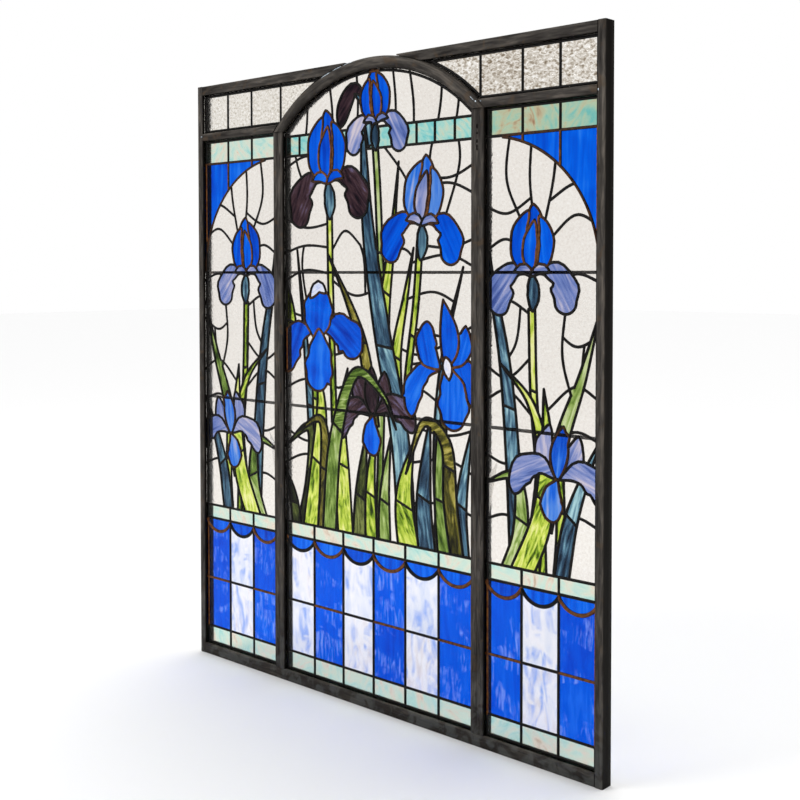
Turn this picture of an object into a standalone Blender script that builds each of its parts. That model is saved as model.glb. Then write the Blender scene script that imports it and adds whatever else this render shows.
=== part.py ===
# A leaded glass window of three lights with irises, in a dark metal frame with an arched centre.
# Metres, +Z up. The front faces -Y, X runs across, and the origin is the middle of the sill face.
import math

import bpy
import bmesh
from mathutils import Vector
from mathutils.geometry import delaunay_2d_cdt

# Frame
FRAME_WIDTH = 1.520
FRAME_HEIGHT = 1.800
FRAME_DEPTH = 0.038
STILE_FACE = 0.023
TOP_RAIL_FACE = 0.028
BOTTOM_RAIL_FACE = 0.032
MULLION_FACE = 0.041
MULLION_OFFSET = 0.3795     # from the middle of the window to the middle of a mullion
TRANSOM_FACE = 0.023
TOP_LIGHT_HEIGHT = 0.120
ARCH_FACE = 0.033
ARCH_CROWN_RISE = 0.005     # how far the crown stands over the top rail
ARCH_PROUD = 0.006          # how far the arch stands in front of the other bars
ARCH_ROUNDING = 0.009
EDGE_CHAMFER = 0.0015
SHORTEST_EASED = 0.1        # shorter edges keep sharp corners
THIN_TIP = 0.004            # blunt end of the top rails and of the spandrels
SEAM_WIDTH = 0.004          # V seam down the middle of a mullion
SEAM_DEPTH = 0.002
JOINT_GAP = 0.0003

# Glass, leading and the groove that holds them
GLASS_THICKNESS = 0.004
GLASS_SETBACK = 0.012
LEAD_WIDTH = 0.0065
LEAD_RISE = 0.0018
BORDER_LEAD_SHOWS = 0.006
PANEL_BITE = 0.006          # how far a light goes into the groove
GROOVE_CLEARANCE = 0.001
LIGHT_TIP = 0.008           # blunt end of a top light, under the crown of the arch

# Bands of plain panes, from the sill up
BASE_BAND = 0.0575
LOWER_CHECK = 0.155
UPPER_CHECK = 0.1915
MIDDLE_BAND = 0.0424
UPPER_BAND = 0.0733
HEAD_BAND = 0.058
SWAG_DROP = 0.040
SWAG_CUSP = 0.006
SIDE_COLUMNS = 3
CENTRE_COLUMNS = 6

# Saddle bars behind the glass
SADDLE_BAR_SHARES = (0.32, 0.684)   # of the way from the foot of the picture to the spandrel
SADDLE_BAR_FACE = 0.008
SADDLE_BAR_DEPTH = 0.006

# Drawing
CURVE_STEP = 0.055
ARC_STEP = 0.035
SWAG_STEP = 0.021
LEAST_PANE = 1e-3           # a smaller pane joins its neighbour, in square metres
STRAIGHTEN = 0.0035         # a point that bends a lead less than this goes
MITRE_LIMIT = 0.25          # the least cosine that a mitre is cut to
NEARLY_STRAIGHT = 0.05      # the sine of a bend that needs no mitre
TOUCHING = 1e-4
MERGE = 1e-5

# What follows from the sizes above
OPENING_BOTTOM = BOTTOM_RAIL_FACE
TRANSOM_TOP = FRAME_HEIGHT - TOP_RAIL_FACE - TOP_LIGHT_HEIGHT
TRANSOM_BOTTOM = TRANSOM_TOP - TRANSOM_FACE
RAIL_BOTTOM = FRAME_HEIGHT - TOP_RAIL_FACE
STILE_INNER = FRAME_WIDTH / 2 - STILE_FACE
MULLION_INNER = MULLION_OFFSET - MULLION_FACE / 2
MULLION_OUTER = MULLION_OFFSET + MULLION_FACE / 2
CROWN_TOP = FRAME_HEIGHT + ARCH_CROWN_RISE
ARCH_RISE = CROWN_TOP - TRANSOM_TOP
ARCH_OUTER_RADIUS = (MULLION_OFFSET ** 2 + ARCH_RISE ** 2) / (2 * ARCH_RISE)
ARCH_INNER_RADIUS = ARCH_OUTER_RADIUS - ARCH_FACE
ARCH_CENTRE_Z = CROWN_TOP - ARCH_OUTER_RADIUS
FRAME_FRONT = -FRAME_DEPTH / 2
FRAME_BACK = FRAME_DEPTH / 2
GLASS_FRONT = FRAME_FRONT + GLASS_SETBACK
GLASS_BACK = GLASS_FRONT + GLASS_THICKNESS
BASE_LINE = OPENING_BOTTOM + BASE_BAND
CHECK_LINE = BASE_LINE + LOWER_CHECK
SWAG_LINE = CHECK_LINE + UPPER_CHECK
PICTURE_BASE = SWAG_LINE + MIDDLE_BAND
SPANDREL_TOP = TRANSOM_BOTTOM - UPPER_BAND
SIDE_LIGHT_WIDTH = STILE_INNER - MULLION_OUTER
SADDLE_BAR_HEIGHTS = [PICTURE_BASE + share * (SPANDREL_TOP - PICTURE_BASE) for share in SADDLE_BAR_SHARES]

FINISHES = {
    "dark_metal": ((0.045, 0.040, 0.036), 0.45, 0.9),
    "leading": ((0.030, 0.027, 0.025), 0.45, 0.8),
    "clear_glass": ((0.80, 0.79, 0.76), 0.12, 0.0),
    "teal_glass": ((0.38, 0.60, 0.53), 0.20, 0.0),
    "blue_glass": ((0.01, 0.06, 0.68), 0.15, 0.0),
    "white_glass": ((0.70, 0.76, 0.90), 0.20, 0.0),
}


# Materials and objects

def finish(name):
    material = bpy.data.materials.get(name)
    if material is None:
        colour, roughness, metallic = FINISHES[name]
        material = bpy.data.materials.new(name)
        material.use_nodes = True
        shader = material.node_tree.nodes["Principled BSDF"]
        shader.inputs["Base Color"].default_value = (*colour, 1.0)
        shader.inputs["Roughness"].default_value = roughness
        shader.inputs["Metallic"].default_value = metallic
        material.diffuse_color = (*colour, 1.0)
    return material


def add_object(name, bm, finish_name, parent):
    bmesh.ops.recalc_face_normals(bm, faces=bm.faces)
    mesh = bpy.data.meshes.new(name)
    bm.to_mesh(mesh)
    bm.free()
    mesh.materials.append(finish(finish_name))
    obj = bpy.data.objects.new(name, mesh)
    bpy.context.scene.collection.objects.link(obj)
    obj.parent = parent
    return obj


def add_empty(name, x):
    empty = bpy.data.objects.new(name, None)
    empty.empty_display_size = 0.1
    empty.location = (x, 0.0, 0.0)
    bpy.context.scene.collection.objects.link(empty)
    return empty


# Outlines in the plane of the window, as lists of (x, z) vectors running anticlockwise

def arc(centre_x, centre_z, radius, start, end, step=ARC_STEP):
    count = max(3, round(abs(end - start) * radius / step))
    points = []
    for i in range(count + 1):
        angle = start + (end - start) * i / count
        points.append(Vector((centre_x + radius * math.cos(angle), centre_z + radius * math.sin(angle))))
    return points


def box(left, bottom, right, top):
    return [Vector((left, bottom)), Vector((right, bottom)), Vector((right, top)), Vector((left, top))]


def mirrored(outline):
    return [Vector((-p.x, p.y)) for p in reversed(outline)]


def signed_area(outline):
    return sum(a.cross(b) for a, b in zip(outline, outline[1:] + outline[:1])) / 2


def inset(outline, distance):
    # each side moves in by the distance, and the corners stay mitred
    moved = []
    for before, here, after in zip(outline[-1:] + outline[:-1], outline, outline[1:] + outline[:1]):
        arriving = (here - before).normalized()
        leaving = (after - here).normalized()
        inward_a = Vector((-arriving.y, arriving.x))
        inward_b = Vector((-leaving.y, leaving.x))
        half = (inward_a + inward_b).normalized()
        moved.append(here + half * (distance / max(MITRE_LIMIT, half.dot(inward_a))))
    return moved


def side_light_outline(grow):
    return box(MULLION_OUTER - grow, OPENING_BOTTOM - grow, STILE_INNER + grow, TRANSOM_BOTTOM + grow)


def centre_light_outline(grow):
    half_width = MULLION_INNER + grow
    radius = ARCH_INNER_RADIUS + grow
    angle = math.acos(half_width / radius)
    bottom = OPENING_BOTTOM - grow
    head = arc(0.0, ARCH_CENTRE_Z, radius, angle, math.pi - angle)
    return [Vector((-half_width, bottom)), Vector((half_width, bottom))] + head


def top_light_outline(grow):
    # the long tip between the rail and the arch ends blunt
    radius = ARCH_OUTER_RADIUS - grow
    top = RAIL_BOTTOM + grow
    bottom = TRANSOM_TOP - grow
    low_angle = math.asin((bottom - ARCH_CENTRE_Z) / radius)
    high_angle = math.asin((top - LIGHT_TIP - ARCH_CENTRE_Z) / radius)
    curve = arc(0.0, ARCH_CENTRE_Z, radius, high_angle, low_angle)
    right = STILE_INNER + grow
    return [Vector((curve[0].x, top))] + curve + [Vector((right, bottom)), Vector((right, top))]


# Solids

def sweep(bm, faces, vector):
    swept = bmesh.ops.extrude_face_region(bm, geom=faces)
    moved = [v for v in swept["geom"] if isinstance(v, bmesh.types.BMVert)]
    bmesh.ops.translate(bm, verts=moved, vec=vector)


def prism(name, outline, front, back, finish_name, parent):
    bm = bmesh.new()
    offset = parent.location.x
    face = bm.faces.new([bm.verts.new((p.x - offset, front, p.y)) for p in outline])
    sweep(bm, [face], (0.0, back - front, 0.0))
    return add_object(name, bm, finish_name, parent)


def chamfer_long_edges(obj):
    # only the long straight edges of the two faces are eased, so the joints stay sharp
    bm = bmesh.new()
    bm.from_mesh(obj.data)
    edges = []
    for edge in bm.edges:
        a, b = (v.co for v in edge.verts)
        if edge.calc_length() > SHORTEST_EASED and abs(a.y - b.y) < TOUCHING:
            edges.append(edge)
    bmesh.ops.bevel(bm, geom=edges, offset=EDGE_CHAMFER, segments=1, profile=0.5, affect="EDGES",
                    material=-1)
    bm.to_mesh(obj.data)
    bm.free()


def cut_groove(obj, cutter):
    groove = obj.modifiers.new("groove", "BOOLEAN")
    groove.operation = "DIFFERENCE"
    groove.solver = "EXACT"
    groove.object = cutter


def groove_cutter(parent):
    # one loop for each light, as thick as glass and leading together with room to slide
    clear = LEAD_RISE + JOINT_GAP + GROOVE_CLEARANCE
    grow = PANEL_BITE + GROOVE_CLEARANCE
    outlines = [centre_light_outline(grow)]
    for outline in (side_light_outline(grow), top_light_outline(grow)):
        outlines += [outline, mirrored(outline)]
    bm = bmesh.new()
    for outline in outlines:
        face = bm.faces.new([bm.verts.new((p.x, GLASS_FRONT - clear, p.y)) for p in outline])
        sweep(bm, [face], (0.0, GLASS_THICKNESS + 2 * clear, 0.0))
    cutter = add_object("groove_cutter", bm, "leading", parent)
    cutter.hide_render = True
    cutter.display_type = "WIRE"
    return cutter


# Frame

def stile_outline():
    return box(STILE_INNER, 0.0, FRAME_WIDTH / 2, FRAME_HEIGHT)


def top_rail_outline():
    radius = ARCH_OUTER_RADIUS + JOINT_GAP
    low_angle = math.asin((RAIL_BOTTOM - ARCH_CENTRE_Z) / radius)
    high_angle = math.asin((FRAME_HEIGHT - ARCH_CENTRE_Z - THIN_TIP) / radius)
    curve = arc(0.0, ARCH_CENTRE_Z, radius, high_angle, low_angle)
    end = STILE_INNER - JOINT_GAP
    return [Vector((curve[0].x, FRAME_HEIGHT))] + curve + [Vector((end, RAIL_BOTTOM)), Vector((end, FRAME_HEIGHT))]


def transom_outline():
    radius = ARCH_OUTER_RADIUS + JOINT_GAP
    low_angle = math.asin((TRANSOM_BOTTOM - ARCH_CENTRE_Z) / radius)
    high_angle = math.asin((TRANSOM_TOP - ARCH_CENTRE_Z) / radius)
    curve = arc(0.0, ARCH_CENTRE_Z, radius, high_angle, low_angle)
    end = STILE_INNER - JOINT_GAP
    return curve + [Vector((end, TRANSOM_BOTTOM)), Vector((end, TRANSOM_TOP))]


def add_mullion(name, side, parent):
    # a bar with eased edges and a V seam down its front and back
    half = MULLION_FACE / 2
    face = [(-half, EDGE_CHAMFER), (-half + EDGE_CHAMFER, 0.0), (-SEAM_WIDTH / 2, 0.0), (0.0, SEAM_DEPTH),
            (SEAM_WIDTH / 2, 0.0), (half - EDGE_CHAMFER, 0.0), (half, EDGE_CHAMFER)]
    section = [(x, FRAME_FRONT + y) for x, y in face] + [(x, FRAME_BACK - y) for x, y in reversed(face)]
    bottom = OPENING_BOTTOM + JOINT_GAP
    bm = bmesh.new()
    centre = side * MULLION_OFFSET - parent.location.x
    end = bm.faces.new([bm.verts.new((centre + x, y, bottom)) for x, y in section])
    sweep(bm, [end], (0.0, 0.0, TRANSOM_BOTTOM - JOINT_GAP - bottom))
    return add_object(name, bm, "dark_metal", parent)


def add_arch(parent):
    # a round-faced bar bent to a segment, standing on the two mullions
    low = math.asin((TRANSOM_BOTTOM - ARCH_CENTRE_Z) / ARCH_OUTER_RADIUS)
    low_inner = math.asin((TRANSOM_BOTTOM - ARCH_CENTRE_Z) / ARCH_INNER_RADIUS)
    outer = arc(0.0, ARCH_CENTRE_Z, ARCH_OUTER_RADIUS, low, math.pi - low)
    inner = arc(0.0, ARCH_CENTRE_Z, ARCH_INNER_RADIUS, math.pi - low_inner, low_inner)
    arch = prism("arch_bar", outer + inner, FRAME_FRONT - ARCH_PROUD, FRAME_BACK, "dark_metal", parent)
    bm = bmesh.new()
    bm.from_mesh(arch.data)
    front = FRAME_FRONT - ARCH_PROUD
    edges = []
    for edge in bm.edges:
        a, b = (v.co for v in edge.verts)
        across = abs(a.z - TRANSOM_BOTTOM) < TOUCHING and abs(b.z - TRANSOM_BOTTOM) < TOUCHING
        if abs(a.y - front) < TOUCHING and abs(b.y - front) < TOUCHING and not across:
            edges.append(edge)
    bmesh.ops.bevel(bm, geom=edges, offset=ARCH_ROUNDING, segments=2, profile=0.5, affect="EDGES", material=-1)
    bm.to_mesh(arch.data)
    bm.free()
    return arch


def add_frame(parent, cutter):
    bars = [add_arch(parent)]
    sill = box(-STILE_INNER + JOINT_GAP, 0.0, STILE_INNER - JOINT_GAP, BOTTOM_RAIL_FACE)
    straight = [prism("bottom_rail", sill, FRAME_FRONT, FRAME_BACK, "dark_metal", parent)]
    for side, word in ((-1, "left"), (1, "right")):
        for name, outline in (("stile", stile_outline()), ("top_rail", top_rail_outline()),
                              ("transom", transom_outline())):
            shape = outline if side > 0 else mirrored(outline)
            straight.append(prism(f"{word}_{name}", shape, FRAME_FRONT, FRAME_BACK, "dark_metal", parent))
        bars.append(add_mullion(f"{word}_mullion", side, parent))
    for bar in straight:
        chamfer_long_edges(bar)
    for bar in bars + straight:
        cut_groove(bar, cutter)


# Glass

def glass(name, outline, finish_name, parent):
    if signed_area(outline) < 0:
        outline = outline[::-1]
    prism(name, inset(outline, JOINT_GAP / 2), GLASS_FRONT, GLASS_BACK, finish_name, parent)


def swag_arc(left, right):
    # one hanging scallop, read from left to right
    width = right - left
    sag = SWAG_DROP - SWAG_CUSP
    radius = (width ** 2 / 4 + sag ** 2) / (2 * sag)
    reach = math.asin(width / 2 / radius)
    centre_z = SWAG_LINE - SWAG_DROP + radius
    down = -math.pi / 2
    return arc((left + right) / 2, centre_z, radius, down - reach, down + reach, SWAG_STEP)


def column_edges(left, right, count):
    return [left + (right - left) * i / count for i in range(count + 1)]


def add_bands(word, left, right, count, first_blue, parent):
    # the base band, the checks, the scalloped swags and the middle band of one light
    outer_left = left - PANEL_BITE
    outer_right = right + PANEL_BITE
    bottom = OPENING_BOTTOM - PANEL_BITE
    glass(f"{word}_base_band", box(outer_left, bottom, outer_right, BASE_LINE), "teal_glass", parent)
    glass(f"{word}_middle_band", box(outer_left, SWAG_LINE, outer_right, PICTURE_BASE), "teal_glass", parent)
    edges = column_edges(left, right, count)
    scallops = []
    for number in range(count):
        curve = swag_arc(edges[number], edges[number + 1])
        if number == 0:
            curve[0] = Vector((outer_left, SWAG_LINE - SWAG_CUSP))
        if number == count - 1:
            curve[-1] = Vector((outer_right, SWAG_LINE - SWAG_CUSP))
        blue = first_blue == (number % 2 == 0)
        column = [Vector((curve[0].x, BASE_LINE)), Vector((curve[-1].x, BASE_LINE))] + curve[::-1]
        glass(f"{word}_check_column_{number + 1}", column, "blue_glass" if blue else "white_glass", parent)
        scallops += curve if number == 0 else curve[1:]
    top = [Vector((outer_right, SWAG_LINE)), Vector((outer_left, SWAG_LINE))]
    glass(f"{word}_swags", scallops + top, "blue_glass", parent)


def add_side_glass(side, word, parent):
    turn = mirrored if side < 0 else list
    left, right = (MULLION_OUTER, STILE_INNER) if side > 0 else (-STILE_INNER, -MULLION_OUTER)
    add_bands(word, left, right, SIDE_COLUMNS, True, parent)
    outer = side_light_outline(PANEL_BITE)
    band = box(outer[0].x, SPANDREL_TOP, outer[1].x, outer[2].y)
    curve = spandrel_arc()
    tip = Vector((curve[0].x, SPANDREL_TOP))
    low = Vector((outer[1].x, curve[-1].y))
    spandrel = curve + [low, Vector((outer[1].x, SPANDREL_TOP)), tip]
    field = [Vector((outer[0].x, PICTURE_BASE)), Vector((outer[1].x, PICTURE_BASE)), low]
    field += curve[::-1] + [tip, Vector((outer[0].x, SPANDREL_TOP))]
    glass(f"{word}_upper_band", turn(band), "teal_glass", parent)
    glass(f"{word}_spandrel", turn(spandrel), "blue_glass", parent)
    glass(f"{word}_picture", turn(field), "clear_glass", parent)
    glass(f"{word}_top_light", turn(top_light_outline(PANEL_BITE)), "clear_glass", parent)


def spandrel_arc():
    # a quarter circle about the mullion's edge, from just under the upper band down to the stile
    radius = SIDE_LIGHT_WIDTH
    start = math.asin(1 - THIN_TIP / radius)
    return arc(MULLION_OUTER, SPANDREL_TOP - radius, radius, start, 0.0)


def add_centre_glass(parent):
    add_bands("centre", -MULLION_INNER, MULLION_INNER, CENTRE_COLUMNS, False, parent)
    outer = centre_light_outline(PANEL_BITE)
    field = [Vector((outer[0].x, PICTURE_BASE)), Vector((outer[1].x, PICTURE_BASE))] + outer[2:]
    glass("centre_picture", field, "clear_glass", parent)


# Leading: every light is drawn as layers of outlines, and lead runs where two layers meet

def winding(point, outline):
    turns = 0
    before = outline[-1]
    for here in outline:
        if (before.y <= point.y) != (here.y <= point.y):
            side = (here - before).cross(point - before)
            if here.y > before.y and side > 0:
                turns += 1
            elif here.y < before.y and side < 0:
                turns -= 1
        before = here
    return turns


def smooth_curve(points, step):
    # a Catmull-Rom curve through the points
    points = [Vector(p) for p in points]
    padded = [2 * points[0] - points[1]] + points + [2 * points[-1] - points[-2]]
    curve = []
    for a, b, c, d in zip(padded, padded[1:], padded[2:], padded[3:]):
        count = max(2, round((c - b).length / step))
        for i in range(count):
            t = i / count
            curve.append(0.5 * (2 * b + (c - a) * t + (2 * a - 5 * b + 4 * c - d) * t ** 2
                                + (3 * b - a - 3 * c + d) * t ** 3))
    curve.append(points[-1])
    return curve


def blade(spine, width, half_width, even=False):
    # the outline of a leaf, stem or petal: a width that varies along a curved spine
    fine = smooth_curve(spine, CURVE_STEP / 8)
    reached = [0.0]
    for a, b in zip(fine, fine[1:]):
        reached.append(reached[-1] + (b - a).length)
    count = max(4, round(reached[-1] / CURVE_STEP))
    left, right = [], []
    k = 0
    for i in range(count + 1):
        share = i / count if even else (1 - math.cos(math.pi * i / count)) / 2
        while k < len(fine) - 2 and reached[k + 1] < share * reached[-1]:
            k += 1
        along = (share * reached[-1] - reached[k]) / (reached[k + 1] - reached[k])
        here = fine[k].lerp(fine[k + 1], along)
        heading = (fine[min(k + 2, len(fine) - 1)] - fine[max(k - 1, 0)]).normalized()
        aside = Vector((-heading.y, heading.x)) * (width / 2 * half_width(share))
        left.append(here + aside)
        if aside.length > TOUCHING:
            right.append(here - aside)
    return left + right[::-1]


def petal_width(belly, bluntness):
    power = math.log(0.5) / math.log(belly)
    return lambda share: max(0.0, math.sin(math.pi * share ** power)) ** bluntness


def leaf_width(root, point):
    return lambda share: (1 - share ** point) * (root + (1 - root) * math.sin(math.pi * min(1, share * 1.2)))


def stem_width(share):
    return 1.0


# Petals of a bloom: spine points as shares of its height, width, belly and bluntness
UPRIGHT_BLOOM = (
    (((-0.03, 0.02), (-0.20, 0.04), (-0.35, -0.08), (-0.38, -0.36)), 0.29, 0.68, 0.50),
    (((0.03, 0.02), (0.20, 0.04), (0.34, -0.06), (0.40, -0.33)), 0.28, 0.68, 0.50),
    (((0.00, 0.02), (0.03, -0.16), (0.01, -0.36)), 0.22, 0.60, 0.60),
    (((-0.05, 0.01), (-0.20, 0.17), (-0.19, 0.40), (-0.04, 0.56)), 0.22, 0.52, 0.70),
    (((0.05, 0.01), (0.20, 0.18), (0.20, 0.38), (0.10, 0.52)), 0.20, 0.52, 0.70),
    (((0.00, 0.00), (0.00, 0.30), (0.01, 0.60)), 0.22, 0.55, 0.75),
)
FACING_BLOOM = (
    (((-0.08, 0.06), (-0.26, 0.02), (-0.38, -0.12), (-0.42, -0.36)), 0.31, 0.62, 0.50),
    (((0.08, 0.08), (0.26, 0.10), (0.42, 0.02), (0.52, -0.14)), 0.34, 0.60, 0.50),
    (((0.00, -0.02), (-0.01, 0.22), (0.00, 0.46)), 0.38, 0.56, 0.48),
    (((0.01, 0.08), (0.03, -0.20), (0.00, -0.50)), 0.36, 0.62, 0.48),
)
TURNED_BLOOM = (
    (((-0.04, 0.00), (-0.24, -0.02), (-0.38, -0.18), (-0.42, -0.42)), 0.22, 0.60, 0.60),
    (((0.06, 0.02), (0.24, -0.02), (0.32, -0.16), (0.30, -0.34)), 0.22, 0.60, 0.60),
    (((0.06, 0.00), (0.22, 0.14), (0.27, 0.36)), 0.18, 0.55, 0.80),
    (((-0.05, 0.00), (-0.19, 0.16), (-0.17, 0.42)), 0.24, 0.55, 0.60),
    (((0.02, 0.00), (0.08, 0.24), (0.03, 0.60)), 0.21, 0.42, 0.95),
    (((0.02, 0.04), (0.08, -0.22), (0.07, -0.54)), 0.34, 0.62, 0.50),
)
DROOPING_BLOOM = (
    (((-0.03, 0.02), (-0.17, 0.22), (-0.12, 0.50)), 0.20, 0.50, 0.75),
    (((0.03, 0.02), (0.15, 0.20), (0.20, 0.44)), 0.20, 0.50, 0.75),
    (((0.00, 0.00), (0.00, 0.22), (0.03, 0.50)), 0.19, 0.50, 0.80),
    (((-0.02, 0.02), (-0.22, 0.12), (-0.40, 0.02), (-0.48, -0.20)), 0.25, 0.62, 0.60),
    (((0.02, 0.02), (0.22, 0.12), (0.42, 0.04), (0.52, -0.16)), 0.25, 0.62, 0.60),
    (((0.00, 0.02), (-0.05, -0.16), (-0.02, -0.38)), 0.24, 0.62, 0.60),
)


class Drawing:
    # layers of outlines over one light, the last one on top, placed by shares of its picture field

    def __init__(self, outline, centre_x, half_width, height):
        self.layers = [outline]
        self.lines = []
        self.centre_x = centre_x
        self.half_width = half_width
        self.height = height

    def place(self, across, up):
        return Vector((self.centre_x + across * self.half_width, PICTURE_BASE + up * self.height))

    def add(self, outline):
        self.layers.append(outline)

    def leaf(self, spine, width, root=1.0, point=2.2):
        # widths are shares of the picture's height
        points = [self.place(*p) for p in spine]
        self.add(blade(points, width * self.height, leaf_width(root, point), even=True))

    def stem(self, spine, width=0.0155):
        points = [self.place(*p) for p in spine]
        self.add(blade(points, width * self.height, stem_width, even=True))

    def bloom(self, petals, across, up, size, lean, flip=1):
        centre = self.place(across, up)
        tall = size * self.height
        turn = math.radians(lean)
        for spine, width, belly, bluntness in petals:
            points = []
            for x, y in spine:
                x *= flip
                turned = Vector((x * math.cos(turn) - y * math.sin(turn), x * math.sin(turn) + y * math.cos(turn)))
                points.append(centre + turned * tall)
            self.add(blade(points, width * tall, petal_width(belly, bluntness)))

    def split(self, xs, bottom, top):
        # short upright lines in the layer that was added last
        for x in xs:
            self.lines.append((len(self.layers) - 1, [Vector((x, bottom)), Vector((x, top))]))


def draw_bands(drawing, left, right, count):
    outer_left = left - PANEL_BITE
    outer_right = right + PANEL_BITE
    edges = column_edges(left, right, count)
    inner = edges[1:-1]
    drawing.add(box(outer_left, SWAG_LINE, outer_right, PICTURE_BASE))
    drawing.split(inner, SWAG_LINE, PICTURE_BASE)
    drawing.add(box(outer_left, CHECK_LINE, outer_right, SWAG_LINE))
    drawing.split(inner, CHECK_LINE, SWAG_LINE)
    drawing.add(box(outer_left, BASE_LINE, outer_right, CHECK_LINE))
    drawing.split(inner, BASE_LINE, CHECK_LINE)
    for number in range(count):
        curve = swag_arc(edges[number], edges[number + 1])
        start = outer_left if number == 0 else curve[0].x
        end = outer_right if number == count - 1 else curve[-1].x
        drawing.add([Vector((end, SWAG_LINE)), Vector((start, SWAG_LINE)), Vector((start, curve[0].y))]
                    + curve + [Vector((end, curve[-1].y))])
    drawing.add(box(outer_left, OPENING_BOTTOM - PANEL_BITE, outer_right, BASE_LINE))
    drawing.split(inner, OPENING_BOTTOM - PANEL_BITE, BASE_LINE)


def draw_side_light():
    centre_x = (MULLION_OUTER + STILE_INNER) / 2
    outline = side_light_outline(PANEL_BITE)
    drawing = Drawing(outline, centre_x, SIDE_LIGHT_WIDTH / 2, SPANDREL_TOP - PICTURE_BASE)
    drawing.leaf([(-0.40, -0.02), (-0.50, 0.25), (-0.66, 0.48), (-0.95, 0.70), (-1.00, 0.84)], 0.043)
    drawing.leaf([(0.10, 0.10), (0.36, 0.30), (0.72, 0.45), (1.02, 0.60)], 0.043, 0.8)
    drawing.stem([(0.06, -0.02), (0.00, 0.20), (-0.12, 0.40), (-0.16, 0.60)], 0.0186)
    drawing.leaf([(-0.14, 0.00), (0.04, 0.24), (-0.16, 0.38), (-0.72, 0.47)], 0.043, 0.9)
    drawing.leaf([(0.35, -0.03), (0.52, 0.12), (0.80, 0.24), (1.04, 0.32)], 0.043, 0.9)
    drawing.leaf([(-0.66, -0.04), (-0.36, 0.08), (-0.44, 0.21), (-1.03, 0.19)], 0.048, 0.9)
    drawing.leaf([(-0.40, -0.03), (0.02, 0.12), (0.12, 0.28), (0.06, 0.42)], 0.061)
    drawing.bloom(DROOPING_BLOOM, 0.30, 0.215, 0.251, -4)
    drawing.bloom(UPRIGHT_BLOOM, -0.16, 0.675, 0.227, 0)
    columns = column_edges(MULLION_OUTER, STILE_INNER, SIDE_COLUMNS)
    curve = spandrel_arc()
    right = outline[1].x
    low = curve[-1].y
    drawing.add([Vector((right, low)), Vector((right, SPANDREL_TOP)), Vector((curve[0].x, SPANDREL_TOP))] + curve)
    drawing.split(columns[1:-1], low, SPANDREL_TOP)
    drawing.add(box(outline[0].x, SPANDREL_TOP, right, outline[2].y))
    drawing.split(columns[1:-1], SPANDREL_TOP, outline[2].y)
    draw_bands(drawing, MULLION_OUTER, STILE_INNER, SIDE_COLUMNS)
    return drawing


def draw_centre_light():
    outline = centre_light_outline(PANEL_BITE)
    height = ARCH_CENTRE_Z + ARCH_INNER_RADIUS - PICTURE_BASE
    drawing = Drawing(outline, 0.0, MULLION_INNER, height)
    columns = column_edges(-MULLION_INNER, MULLION_INNER, CENTRE_COLUMNS)
    drawing.add(box(outline[0].x, SPANDREL_TOP, outline[1].x, SPANDREL_TOP + HEAD_BAND))
    drawing.split(columns[1:-1], SPANDREL_TOP, SPANDREL_TOP + HEAD_BAND)
    drawing.leaf([(-0.62, -0.02), (-0.70, 0.25), (-0.78, 0.45), (-0.86, 0.62)], 0.026, 0.7)
    drawing.leaf([(0.70, -0.02), (0.66, 0.20), (0.72, 0.40), (0.90, 0.58)], 0.028, 0.7)
    drawing.stem([(-0.40, -0.02), (-0.44, 0.30), (-0.47, 0.55), (-0.48, 0.70)])
    drawing.stem([(0.28, -0.02), (0.34, 0.30), (0.44, 0.50), (0.48, 0.62)])
    drawing.stem([(0.05, -0.02), (0.10, 0.40), (0.06, 0.70), (0.02, 0.86)])
    drawing.leaf([(0.14, 0.30), (0.12, 0.48), (0.20, 0.64), (0.27, 0.80)], 0.032, 0.6)
    drawing.leaf([(0.02, 0.24), (-0.10, 0.40), (-0.26, 0.50), (-0.50, 0.61)], 0.032, 0.7)
    drawing.leaf([(0.36, -0.02), (0.28, 0.22), (0.08, 0.46), (-0.06, 0.68), (-0.12, 0.94)], 0.051, 1.0, 3)
    drawing.leaf([(-0.84, -0.04), (-0.70, 0.10), (-0.72, 0.22), (-1.02, 0.17)], 0.043, 0.8)
    drawing.leaf([(-0.72, -0.03), (-0.62, 0.14), (-0.58, 0.27), (-0.63, 0.36)], 0.051, 1.0, 3)
    drawing.leaf([(-0.30, -0.03), (-0.34, 0.12), (-0.36, 0.24), (-0.28, 0.36)], 0.046, 1.0, 3)
    drawing.leaf([(-0.15, -0.03), (-0.13, 0.10), (-0.08, 0.22)], 0.043)
    drawing.leaf([(0.12, -0.03), (0.12, 0.10), (0.18, 0.22)], 0.035)
    drawing.leaf([(0.56, -0.03), (0.52, 0.10), (0.58, 0.27)], 0.046)
    drawing.leaf([(0.38, -0.03), (0.32, 0.10), (0.42, 0.22)], 0.058)
    drawing.leaf([(0.90, -0.03), (0.88, 0.10), (0.98, 0.26)], 0.036)
    drawing.leaf([(0.86, -0.03), (0.78, 0.10), (0.74, 0.22), (0.52, 0.26), (0.34, 0.15)], 0.039, 0.8)
    drawing.bloom(DROOPING_BLOOM, 0.00, 0.260, 0.216, 6)
    drawing.leaf([(-0.50, -0.03), (-0.42, 0.20), (-0.20, 0.35), (0.10, 0.31), (0.24, 0.24)], 0.043, 0.95)
    drawing.bloom(FACING_BLOOM, -0.62, 0.425, 0.240, -3)
    drawing.bloom(TURNED_BLOOM, 0.72, 0.375, 0.232, 4)
    drawing.bloom(UPRIGHT_BLOOM, 0.50, 0.665, 0.201, -4)
    drawing.bloom(UPRIGHT_BLOOM, -0.50, 0.765, 0.224, 3)
    drawing.bloom(UPRIGHT_BLOOM, 0.03, 0.885, 0.162, 2, -1)
    draw_bands(drawing, -MULLION_INNER, MULLION_INNER, CENTRE_COLUMNS)
    return drawing


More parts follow.
